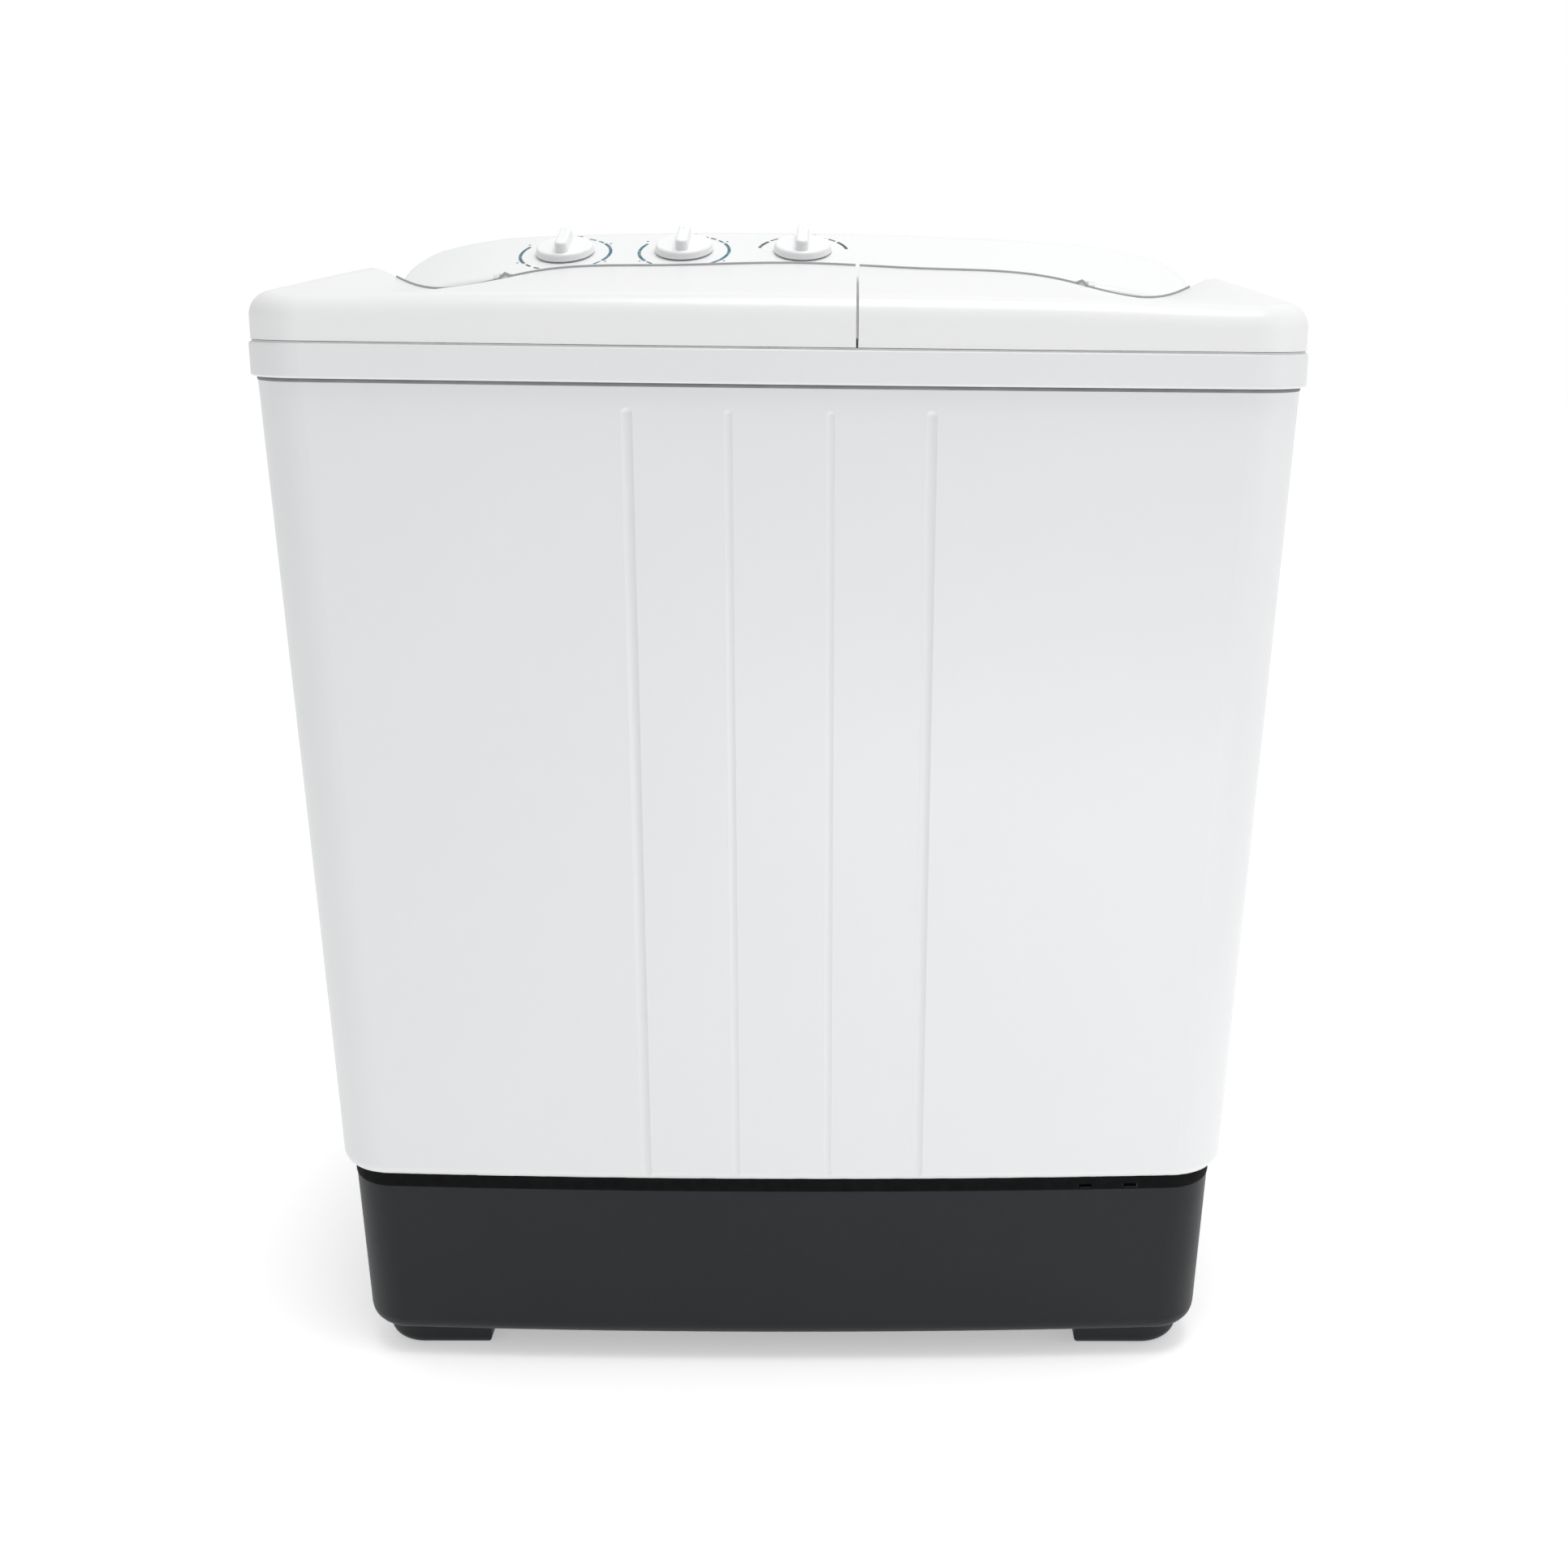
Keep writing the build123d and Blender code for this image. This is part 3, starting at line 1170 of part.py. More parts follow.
def spin_tub():
    low = SPIN_UNDER
    rim = SPIN_TUB_R + SPIN_FLANGE
    points = [
        (SEAL_HOLE_R, low), (SPIN_TUB_R - 20, low), (SPIN_TUB_R, low + 20),
        (SPIN_TUB_R, DECK_UNDER - FLANGE_T), (rim, DECK_UNDER - FLANGE_T), (rim, DECK_UNDER),
        (SPIN_TUB_R - TUB_WALL, DECK_UNDER), (SPIN_TUB_R - TUB_WALL, low + 22),
        (SPIN_TUB_R - 22, SPIN_FLOOR), (SEAL_HOLE_R, SPIN_FLOOR),
    ]
    solid = turned(points, SPIN_X, SPIN_Y)
    x, y = spin_nipple_place()
    solid += disc(SPIN_NIPPLE_R, low - NIPPLE, NIPPLE, x, y)
    solid -= disc(SPIN_NIPPLE_R - 2, low - NIPPLE - 1, NIPPLE + TUB_FLOOR + 2, x, y)
    for x, y in collar_screw_places():
        solid -= disc(SCREW_R + FIT, DECK_UNDER - FLANGE_T - 1, FLANGE_T + 2, x, y)
    return solid


def spin_tub_seal():
    """Rubber bellows under the spin tub, round the shaft."""
    low = SPIN_UNDER
    shaft = SPIN_SHAFT_R + RUN
    points = [
        (SEAL_HOLE_R + 8, low), (SEAL_HOLE_R + 8, low - 4), (SEAL_HOLE_R - 2, low - 4), (28, low - 12),
        (33, low - 16), (24, low - 22), (28, low - 27), (15, low - 33), (shaft, low - 33), (shaft, low - 24),
        (12, low - 24), (22, low - 16), (26, low - 8), (30, low),
    ]
    return turned(points, SPIN_X, SPIN_Y)


def basket_low():
    return SPIN_FLOOR + BASKET_LIFT


def spin_basket():
    """Basket, a little wider at the top, with a rolled lip and a hub."""
    low = basket_low()
    high = DECK_UNDER - BASKET_DROP
    foot_r = BASKET_R - BASKET_TAPER
    skin = BASKET_WALL
    points = [
        (SPIN_SHAFT_R + RUN, low - 12), (26, low - 12), (30, low), (foot_r - 14, low), (foot_r, low + 14),
        (BASKET_R, high - 8), (BASKET_R - 3, high - 2), (BASKET_R - BASKET_LIP, high),
        (BASKET_R - BASKET_LIP, high - skin), (BASKET_R - 4, high - skin - 3), (BASKET_R - skin, high - 10),
        (foot_r - skin, low + 15), (foot_r - 15, low + skin), (30, low + skin), (26, low + 12),
        (SPIN_SHAFT_R + RUN, low + 12),
    ]
    return turned(points, SPIN_X, SPIN_Y)


def spin_shaft_low():
    return DRUM_Z + DRUM * 0.35


def spin_shaft():
    low = spin_shaft_low()
    return disc(SPIN_SHAFT_R, low, basket_low() + 12 - low, SPIN_X, SPIN_Y)


def brake_drum():
    """Coupling drum between the motor and the spin shaft, with a socket at each end."""
    high = DRUM_Z + DRUM
    hub = 20.0
    points = [
        (0, DRUM_Z), (DRUM_R, DRUM_Z), (DRUM_R, high), (DRUM_R - 6, high), (DRUM_R - 6, DRUM_Z + 6),
        (hub, DRUM_Z + 6), (hub, high + 8), (0, high + 8),
    ]
    solid = turned(points, SPIN_X, SPIN_Y)
    solid -= disc(SPIN_SHAFT_R + RUN, spin_shaft_low(), DRUM + 20, SPIN_X, SPIN_Y)
    return solid - disc(MOTOR_SHAFT_R + RUN, DRUM_Z - 1, spin_shaft_low() - DRUM_Z - 1, SPIN_X, SPIN_Y)


def spin_motor_shaft():
    low = SPIN_MOTOR_TOP - 16
    high = spin_shaft_low() - 2
    return disc(MOTOR_SHAFT_R, low, high - low, SPIN_X, SPIN_Y)


def spin_motor():
    """Closed motor on three arms, with an ear that carries the brake pin."""
    low = ARM_Z
    high = SPIN_MOTOR_TOP
    points = [
        (0, low), (SPIN_MOTOR_R - 10, low), (SPIN_MOTOR_R - 2, low + 8), (SPIN_MOTOR_R - 2, low + 30),
        (SPIN_MOTOR_R, low + 30), (SPIN_MOTOR_R, high - 30), (SPIN_MOTOR_R - 2, high - 30),
        (SPIN_MOTOR_R - 2, high - 8), (SPIN_MOTOR_R - 10, high), (0, high),
    ]
    solid = turned(points, SPIN_X, SPIN_Y)
    for x, y in DAMPERS:
        turn = math.degrees(math.atan2(y - SPIN_Y, x - SPIN_X))
        arm = Pos(DAMPER_RING / 2, 0) * SlotOverall(DAMPER_RING + ARM_WIDTH, ARM_WIDTH)
        solid += Pos(SPIN_X, SPIN_Y, low) * Rot(0, 0, turn) * extrude(arm, ARM)
    px, py = BRAKE_PIVOT
    reach = math.hypot(px - SPIN_X, py - SPIN_Y)
    ear = Pos(reach / 2, 0) * SlotOverall(reach + 20, 20)
    turn = math.degrees(math.atan2(py - SPIN_Y, px - SPIN_X))
    solid += Pos(SPIN_X, SPIN_Y, high - ARM) * Rot(0, 0, turn) * extrude(ear, ARM)
    for x, y in DAMPERS:
        solid -= disc(BOLT_R + FIT, low - 1, ARM + 2, x, y)
    return solid - disc(MOTOR_SHAFT_R + RUN, high - 17, 18, SPIN_X, SPIN_Y)


def spin_motor_dampers():
    """Three ribbed rubber boots between the base and the motor's arms."""
    low = FLOOR_TOP + PAD
    pitch = DAMPER_HEIGHT / 4
    boots = []
    for x, y in DAMPERS:
        points = [(BOLT_R + FIT, low), (DAMPER_R, low)]
        for i in range(4):
            points.append((DAMPER_R - 5, low + (i + 0.5) * pitch))
            points.append((DAMPER_R, low + (i + 1) * pitch))
        points.append((BOLT_R + FIT, low + DAMPER_HEIGHT))
        boots.append(turned(points, x, y))
    return Compound(boots)


def spin_motor_bolts():
    bolts = []
    for x, y in DAMPERS:
        head = disc(2 * BOLT_R, ARM_Z + ARM, 4, x, y)
        bolts.append(head + disc(BOLT_R, FLOOR_TOP + PAD + 6, ARM_Z + ARM - FLOOR_TOP - PAD - 6, x, y))
    return Compound(bolts)


# Brake


def brake_lever():
    """Lever with a curved shoe beside the drum."""
    px, py = BRAKE_PIVOT
    length = px - SPIN_X + DRUM_R
    arm = Pos(px - length / 2, py) * SlotOverall(length + 16, LEVER_WIDTH)
    shoe = Pos(SPIN_X, (py + SPIN_Y + DRUM_R) / 2 - 2) * Rectangle(28, PIVOT_BACK + 4)
    solid = extrude(Pos(0, 0, LEVER_Z) * (arm + shoe), LEVER)
    solid -= disc(DRUM_R + BRAKE_GAP, LEVER_Z - 1, LEVER + 2, SPIN_X, SPIN_Y)
    return solid - disc(BRAKE_PIN_R + RUN, LEVER_Z - 1, LEVER + 2, px, py)


def brake_lever_pin():
    px, py = BRAKE_PIVOT
    low = SPIN_MOTOR_TOP
    solid = disc(BRAKE_PIN_R, low, LEVER_Z + LEVER + 4 - low, px, py)
    return solid + disc(BRAKE_PIN_R + 3, low, LEVER_Z - SEAT_GAP - low, px, py)


def brake_cable():
    """Sheathed cable from the brake lever up behind the spin tub to the deck."""
    x = SPIN_X - DRUM_R + 4
    y = BRAKE_PIVOT[1] + LEVER_WIDTH / 2 + SEAT_GAP
    z = LEVER_Z + LEVER / 2
    back = SPIN_Y + SPIN_TUB_R + SPIN_FLANGE + 12
    return tube([(x, y, z), (x, back, z), (x, back, DECK_UNDER)], 30, 2.5, 0)


# Drain


def drain_valve_body():
    """Chamber under the wash tub's floor, with a stem guide, a hose tail and a side inlet."""
    low = TUB_UNDER - VALVE
    solid = disc(VALVE_R, low, VALVE, DRAIN_X, DRAIN_Y)
    solid += disc(NIPPLE_R, low - NIPPLE, NIPPLE, DRAIN_X, DRAIN_Y)
    turn = side_inlet_turn()
    inlet = Rot(0, 0, turn) * Pos(VALVE_R + NIPPLE / 2 - 2, 0, 0) * Rot(0, 90, 0)
    solid += Pos(DRAIN_X, DRAIN_Y, side_inlet_z()) * inlet * Cylinder(SPIN_NIPPLE_R, NIPPLE + 4)
    solid -= disc(VALVE_R - VALVE_WALL, low + VALVE_WALL, VALVE, DRAIN_X, DRAIN_Y)
    solid -= disc(NIPPLE_R - 2, low - NIPPLE - 1, NIPPLE + VALVE_WALL + 2, DRAIN_X, DRAIN_Y)
    solid -= Pos(DRAIN_X, DRAIN_Y, side_inlet_z()) * inlet * Cylinder(SPIN_NIPPLE_R - 2, NIPPLE + 10)
    guide = TUB_UNDER - 24
    solid += block(DRAIN_X - VALVE_R + 1, DRAIN_X + VALVE_R - 1, DRAIN_Y - 6, DRAIN_Y + 6, guide, guide + 5)
    return solid - disc(PLUG_STEM_R + SEAT_GAP, guide - 1, 7, DRAIN_X, DRAIN_Y)


def side_inlet_z():
    return TUB_UNDER - VALVE + SPIN_NIPPLE_R + VALVE_WALL


def side_inlet_turn():
    x, y = spin_nipple_place()
    return math.degrees(math.atan2(y - DRAIN_Y, x - DRAIN_X))


def drain_plug():
    """Rubber plug on the drain hole, with a stem below."""
    low = WASH_FLOOR + SEAT_GAP
    solid = disc(PLUG_R, low, PLUG, DRAIN_X, DRAIN_Y)
    solid = fillet(solid.edges().group_by(Axis.Z)[-1], 3)
    return solid + disc(PLUG_STEM_R, TUB_UNDER - 40, low - TUB_UNDER + 40, DRAIN_X, DRAIN_Y)


def drain_pull_strap():
    low = WASH_FLOOR + SEAT_GAP + PLUG
    wide = STRAP_WIDTH / 2
    top = DRAIN_TOP - PLUG_LIFT
    return block(DRAIN_X - wide, DRAIN_X + wide, DRAIN_Y - STRAP / 2, DRAIN_Y + STRAP / 2, low, top)


def drain_hose():
    """Hose inside the cabinet, from the valve down to the outlet in the base."""
    wall = base_edges(OUTLET_Z, BASE_WALL)[2]
    start = (DRAIN_X, DRAIN_Y, TUB_UNDER - VALVE - SEAT_GAP)
    corner = (DRAIN_X, DRAIN_Y, OUTLET_Z)
    end = (DRAIN_X, wall - 8, OUTLET_Z)
    bore = NIPPLE_R + FIT
    return tube([start, corner, end], 22, bore + HOSE_WALL, bore)


def drain_outlet_spigot():
    """Hose tail through the back of the base."""
    wall = base_edges(OUTLET_Z, BASE_WALL)[2]
    outside = base_edges(OUTLET_Z, 0)[2] + TAIL_STEP
    solid = along_y(NIPPLE_R, DRAIN_X, OUTLET_Z, wall - 22, outside)
    solid += along_y(NIPPLE_R - TAIL_STEP, DRAIN_X, OUTLET_Z, wall, REAR - 1)
    solid += along_y(NIPPLE_R + 7, DRAIN_X, OUTLET_Z, wall - 6, wall - 1)
    return solid - along_y(NIPPLE_R - 3, DRAIN_X, OUTLET_Z, wall - 23, REAR)


def spin_drain_hose():
    """Hose from the spin tub's floor across to the drain valve."""
    x, y = spin_nipple_place()
    turn = math.radians(side_inlet_turn())
    reach = VALVE_R + 2
    z = side_inlet_z()
    end = (DRAIN_X + reach * math.cos(turn), DRAIN_Y + reach * math.sin(turn), z)
    bore = SPIN_NIPPLE_R + FIT
    return tube([(x, y, SPIN_UNDER - SEAT_GAP), (x, y, z), end], 15, bore + 2, bore)


# Electrics


def capacitor_box():
    x, y = harness_place()
    wide, deep, tall = CAPACITOR
    y = min(y, base_edges(FLOOR_TOP, BASE_WALL + 4)[2] - deep / 2)
    solid = block(x - wide / 2, x + wide / 2, y - deep / 2, y + deep / 2, FLOOR_TOP, FLOOR_TOP + tall)
    return fillet(solid.edges().filter_by(Axis.Z), 4)


def wiring_harness():
    """Sleeved wires from the dials along the console, then down to the motor capacitors."""
    x, y = harness_place()
    z = COLLAR_TOP + HARNESS_RISE
    low = FLOOR_TOP + CAPACITOR[2]
    return tube([(DIAL_X[0], y, z), (x, y, z), (x, y, low)], 12, HARNESS_R, 0)


NODES = {
    "base_pan": base_pan,
    "cabinet": cabinet,
    "rear_cover": rear_cover,
    "rear_cover_screws": rear_cover_screws,
    "cord_gland": cord_gland,
    "tub_collar": tub_collar,
    "collar_screws": collar_screws,
    "lid_hinge_pins": lid_hinge_pins,
    "lid_bumpers": lid_bumpers,
    "lid_switch": lid_switch,
    "wash_lid": wash_lid,
    "spin_lid": spin_lid,
    "console_shell": console_shell,
    "water_inlet_spigot": water_inlet_spigot,
    "wash_timer_knob": lambda: knob(DIAL_X[0]),
    "wash_selector_knob": lambda: knob(DIAL_X[1]),
    "spin_timer_knob": lambda: knob(DIAL_X[2]),
    "wash_timer": lambda: dial_body(DIAL_X[0]),
    "wash_selector_switch": wash_selector_switch,
    "spin_timer": lambda: dial_body(DIAL_X[2]),
    "wash_tub": wash_tub,
    "overflow_channel": overflow_channel,
    "lint_filter": lint_filter,
    "lint_filter_net": lint_filter_net,
    "pulsator": pulsator,
    "pulsator_screw": pulsator_screw,
    "pulsator_shaft": pulsator_shaft,
    "pulsator_bearing_housing": pulsator_bearing_housing,
    "driven_pulley": driven_pulley,
    "motor_pulley": motor_pulley,
    "drive_belt": drive_belt,
    "wash_motor": wash_motor,
    "wash_motor_shaft": wash_motor_shaft,
    "wash_motor_bracket": wash_motor_bracket,
    "wash_motor_bushes": wash_motor_bushes,
    "wash_motor_screws": wash_motor_screws,
    "spin_tub": spin_tub,
    "spin_tub_seal": spin_tub_seal,
    "spin_basket": spin_basket,
    "spin_shaft": spin_shaft,
    "brake_drum": brake_drum,
    "spin_motor": spin_motor,
    "spin_motor_shaft": spin_motor_shaft,
    "spin_motor_dampers": spin_motor_dampers,
    "spin_motor_bolts": spin_motor_bolts,
    "brake_lever": brake_lever,
    "brake_lever_pin": brake_lever_pin,
    "brake_cable": brake_cable,
    "drain_valve_body": drain_valve_body,
    "drain_plug": drain_plug,
    "drain_pull_strap": drain_pull_strap,
    "drain_hose": drain_hose,
    "drain_outlet_spigot": drain_outlet_spigot,
    "spin_drain_hose": spin_drain_hose,
    "capacitor_box": capacitor_box,
    "wiring_harness": wiring_harness,
}

os.makedirs("parts", exist_ok=True)
for place_name, place in foot_places().items():
    export_step(foot(*place), f"parts/{place_name}.step")
for node, make in NODES.items():
    export_step(make(), f"parts/{node}.step")
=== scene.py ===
import json
import math

import bmesh
import bpy
from mathutils import Matrix, Vector
from mathutils.bvhtree import BVHTree


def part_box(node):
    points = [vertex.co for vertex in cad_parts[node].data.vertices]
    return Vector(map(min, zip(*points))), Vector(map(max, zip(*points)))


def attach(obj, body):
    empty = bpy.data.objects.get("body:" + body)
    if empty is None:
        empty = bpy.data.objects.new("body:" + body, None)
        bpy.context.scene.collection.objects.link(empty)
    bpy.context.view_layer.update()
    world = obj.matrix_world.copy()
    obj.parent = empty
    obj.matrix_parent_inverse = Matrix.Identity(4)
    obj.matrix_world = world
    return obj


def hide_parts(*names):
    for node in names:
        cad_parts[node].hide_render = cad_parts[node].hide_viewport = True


# Looks of a twin-tub washing machine, in metres, in the frame of the CAD model.

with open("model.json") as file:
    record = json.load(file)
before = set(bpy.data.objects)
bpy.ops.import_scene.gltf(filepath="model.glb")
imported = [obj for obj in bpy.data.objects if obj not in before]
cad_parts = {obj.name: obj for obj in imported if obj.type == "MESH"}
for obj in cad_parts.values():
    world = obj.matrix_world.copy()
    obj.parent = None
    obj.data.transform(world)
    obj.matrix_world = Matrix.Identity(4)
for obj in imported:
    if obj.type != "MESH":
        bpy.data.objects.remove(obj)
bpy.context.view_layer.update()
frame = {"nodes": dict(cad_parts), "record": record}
nodes = frame["nodes"]
record = frame["record"]

# Studio: strength of the room's light from each side, where it changes, and the floor's own glow
ROOM_DEEP = (-0.6, 0.3)
ROOM_WIDE = (-0.9, 0.9)
ROOM_FRONT = 0.42
ROOM_BACK = 0.80
ROOM_LEFT = 0.92
ROOM_RIGHT = 1.12
FLOOR_GLOW = 0.40
FLOOR_RADII = (0.6, 1.2, 2.5, 6.0, 14.0)
FLOOR_SIDES = 64

# Camera that fits the photograph: place, turn in degrees, and in pixels its focal length and middle
CAMERA_PLACE = (0.0548, -1.3905, 0.8841)
CAMERA_YAW = 1.067
CAMERA_PITCH = 12.948
CAMERA_ROLL = 0.725
FOCAL_PIXELS = 1973.4
MIDDLE_X = 1087.3
MIDDLE_Y = 814.0
FRAME_PIXELS = 1932
SENSOR = 36.0

# Pieces made here: rays start this far off a surface, and edges up to this angle are smooth
RAY_START = 0.05
SMOOTH_ANGLE = 35.0

# Printed dial marks: arcs by radius, width, and angles from the right, as the dial's face is seen
INK_THICK = 0.00012
ARC_STEP = 2.5
HEAVY = 0.0030
FINE = 0.0021
TICK = 0.0022
RING_R = 0.042
TICK_R = 0.0465
BAR_R = 0.0468
POINTER_R = 0.0165
POINTER_LENGTH = 0.012
POINTER_HALF = 2.6


def arcs(radius, width, *spans):
    """Arcs of one radius and width, each from a start angle to an end angle."""
    return [(radius, width, start, end) for start, end in spans]


# Each dial's coloured ring, and its dark marks
DIALS = {
    "wash_timer_knob": (
        arcs(RING_R, HEAVY, (150, 214), (331, 396))
        + arcs(RING_R, FINE, (284, 294), (299, 311), (316, 327), (40, 50), (55, 66)),
        arcs(RING_R, FINE, (219, 229), (235, 244), (250, 258), (266, 274))
        + arcs(BAR_R, FINE, (78, 87), (89, 103))
        + arcs(TICK_R, TICK, (144, 146), (206, 208), (31, 33), (329, 331)),
    ),
    "wash_selector_knob": (
        arcs(RING_R, HEAVY, (150, 216), (304, 390))
        + arcs(RING_R, FINE, (220, 230), (235, 245), (288, 300), (34, 44)),
        arcs(RING_R, FINE, (250, 258), (266, 274), (49, 58), (62, 70))
        + arcs(BAR_R, FINE, (80, 90), (93, 101))
        + arcs(TICK_R, TICK, (142, 144), (212, 214), (33, 35), (326, 328)),
    ),
    "spin_timer_knob": (
        [],
        arcs(RING_R, HEAVY, (12, 40), (142, 168))
        + arcs(RING_R, FINE, (44, 56), (60, 70), (112, 122), (126, 138))
        + arcs(BAR_R, HEAVY, (76, 104)),
    ),
}

# Drain holes of the spin basket, with rims that start at the lower left
HOLE_COLUMNS = 40
HOLE_ROWS = 16
HOLE_R = 0.0026
HOLE_SIDES = 8
HOLE_START = 225
HOLES_ABOVE_FLOOR = 0.030
HOLES_BELOW_TOP = 0.046

# Section of the spin basket, and its rim by how far in from the side and down from the top
BASKET_SKIN = 0.002
BASKET_TAPER = 0.004
BASKET_BEND = 0.014
BEND_STEPS = 6
BASKET_BORE = 0.0053
HUB_DEEP = 0.012
HUB_TALL = 0.012
HUB_CHAMFER = 0.002
HUB_FOOT_R = 0.030
HUB_R = 0.026
RIM_OUTLINE = (
    (0.0, 0.008), (0.0008, 0.0048), (0.003, 0.002), (0.006, 0.0006), (0.009, 0.0),
    (0.0096, 0.001), (0.009, 0.002), (0.004, 0.005), (0.002, 0.010),
)

# Dark strips round the body, a painted shade in the gap under the collar and a painted shadow over the
# base, broken where a slot is deep
OUTLINE_STEPS = 1600
COLLAR_SHADE_TALL = 0.0028
BASE_SHADOW_TALL = 0.0125
STRIP_ROW = 0.001
STRIP_GAP = 0.0002
STRIP_TOP_PROUD = 0.0003
STRIP_PROUD = 0.0005
STRIP_FOOT_PROUD = 0.0001
SLOT_DEEP = 0.0015

# Grey lip along a lid's rear edge, painted shade of the gap between the lid and the console, and its
# section by how far back and up from that edge
LIP_Y = 0.0727
LIP_REACH = 0.352
LIP_INSET = 0.001
LIP_STEP = 0.006
LIP_SECTION = (
    (-0.0010, -0.0008), (-0.0010, 0.0014), (-0.0004, 0.0019),
    (0.0005, 0.0019), (0.0010, 0.0014), (0.0010, -0.0008),
)

# Seal under the lids, and its section by how far in from the collar's side and up from the seal's top
SEAL_CLEAR = 0.0003
SEAL_BAND = 0.012
SEAL_BACK = 0.02
SEAL_SECTION = (
    (0.0022, -0.0012), (0.0022, -0.0003), (0.0026, 0.0),
    (0.0036, 0.0), (0.0040, -0.0003), (0.0040, -0.0012),
)

# Cross slots of the screws, drawn as flat dark crosses of painted shade: an arm's half width as a share of
# its length
SLOT_ARM = 0.22

# Lint net: from thread to thread, and a thread's half width
NET_PITCH = 0.0024
THREAD_R = 0.00034


# Node helpers for the materials


def new_material(name):
    """An empty node material and its shader."""
    mat = bpy.data.materials.new(name)
    mat.use_nodes = True
    return mat.node_tree, mat.node_tree.nodes["Principled BSDF"], mat


def node(tree, kind, **values):
    """A node with its properties and unlinked sockets set by name."""
    made = tree.nodes.new(kind)
    for key, value in values.items():
        if hasattr(made, key):
            setattr(made, key, value)
        else:
            made.inputs[key.replace("_", " ")].default_value = value
    return made


def noise(tree, scale, detail=3.0, rough=0.5, stretch=None):
    """Noise by place on the object, in features per metre."""
    vector = node(tree, "ShaderNodeTexCoord").outputs["Object"]
    if stretch:
        mapping = node(tree, "ShaderNodeMapping")
        mapping.inputs["Scale"].default_value = stretch
        tree.links.new(vector, mapping.inputs["Vector"])
        vector = mapping.outputs["Vector"]
    made = node(tree, "ShaderNodeTexNoise", Scale=scale, Detail=detail, Roughness=rough)
    tree.links.new(vector, made.inputs["Vector"])
    return made.outputs["Fac"]


def ranged(tree, value, low, high, to_low, to_high):
    """Value moved from one range to another."""
    made = node(tree, "ShaderNodeMapRange", From_Min=low, From_Max=high, To_Min=to_low, To_Max=to_high)
    tree.links.new(value, made.inputs["Value"])
    return made.outputs["Result"]


def mixed(tree, share, first, second):
    """Colour between two colours or colour outputs."""
    made = node(tree, "ShaderNodeMix", data_type="RGBA")
    tree.links.new(share, made.inputs["Factor"])
    for socket, colour in (("A", first), ("B", second)):
        target = [s for s in made.inputs if s.name == socket and s.type == "RGBA"][0]
        if isinstance(colour, (tuple, list)):
            target.default_value = (*colour, 1.0)
        else:
            tree.links.new(colour, target)
    return [s for s in made.outputs if s.type == "RGBA"][0]


def bump(tree, height, strength, distance, under=None):
    """Normal from a height, over another normal."""
    made = node(tree, "ShaderNodeBump", Strength=strength, Distance=distance)
    tree.links.new(height, made.inputs["Height"])
    if under:
        tree.links.new(under, made.inputs["Normal"])
    return made.outputs["Normal"]


def patchy(tree, pattern, low, high, first, second):
    """First colour where a pattern is low, and second where it is high."""
    return mixed(tree, ranged(tree, pattern, low, high, 0.0, 1.0), first, second)


def dress(tree, shader, tint, rough, normal):
    """Gives the shader its colour, roughness and normal."""
    tree.links.new(tint, shader.inputs["Base Color"])
    tree.links.new(rough, shader.inputs["Roughness"])
    tree.links.new(normal, shader.inputs["Normal"])


def soft_edges(tree, radius):
    """Normal that rounds sharp edges by a radius."""
    return node(tree, "ShaderNodeBevel", samples=4, Radius=radius).outputs["Normal"]


def edge_share(tree, radius):
    """About 1 along sharp edges and 0 on open faces."""
    bevel = node(tree, "ShaderNodeBevel", samples=4, Radius=radius)
    flat = node(tree, "ShaderNodeNewGeometry")
    dot = node(tree, "ShaderNodeVectorMath", operation="DOT_PRODUCT")
    tree.links.new(bevel.outputs["Normal"], dot.inputs[0])
    tree.links.new(flat.outputs["Normal"], dot.inputs[1])
    return ranged(tree, dot.outputs["Value"], 1.0, 0.8, 0.0, 1.0)


# Materials: one for each slot of the record, then those of the console and of the pieces made here


def moulded(name, colour, rough, grain=900.0, depth=0.00002, cloud=0.012, coat=0.0, wear=0.0):
    """Moulded plastic: faint clouding, a fine skin grain and, with wear, paler edges."""
    tree, shader, mat = new_material(name)
    darker = tuple(c * (1 - cloud) for c in colour)
    tint = patchy(tree, noise(tree, 3.0, 2.0), 0.3, 0.7, darker, colour)
    if wear:
        rubbed = tuple(min(1.0, c + wear) for c in colour)
        tint = mixed(tree, edge_share(tree, 0.0012), tint, rubbed)
    sheen = ranged(tree, noise(tree, 14.0, 3.0), 0.3, 0.7, rough - 0.015, rough + 0.02)
    normal = bump(tree, noise(tree, grain, 2.0), 0.35, depth, soft_edges(tree, 0.0005))
    dress(tree, shader, tint, sheen, normal)
    shader.inputs["IOR"].default_value = 1.49
    shader.inputs["Coat Weight"].default_value = coat
    shader.inputs["Coat Roughness"].default_value = 0.12
    return mat


def metal(name, colour, rough, grain=700.0, depth=0.00001, stain=0.12):
    """Bare metal with fine marks, dull patches and brighter edges."""
    tree, shader, mat = new_material(name)
    darker = tuple(c * (1 - stain) for c in colour)
    brighter = tuple(min(1.0, c * 1.15) for c in colour)
    tint = patchy(tree, noise(tree, 60.0, 6.0, 0.6), 0.35, 0.7, colour, darker)
    tint = mixed(tree, edge_share(tree, 0.0006), tint, brighter)
    sheen = ranged(tree, noise(tree, 90.0, 5.0), 0.3, 0.7, rough - 0.07, rough + 0.08)
    normal = bump(tree, noise(tree, grain, 3.0), 0.7, depth, soft_edges(tree, 0.0003))
    dress(tree, shader, tint, sheen, normal)
    shader.inputs["Metallic"].default_value = 1.0
    return mat


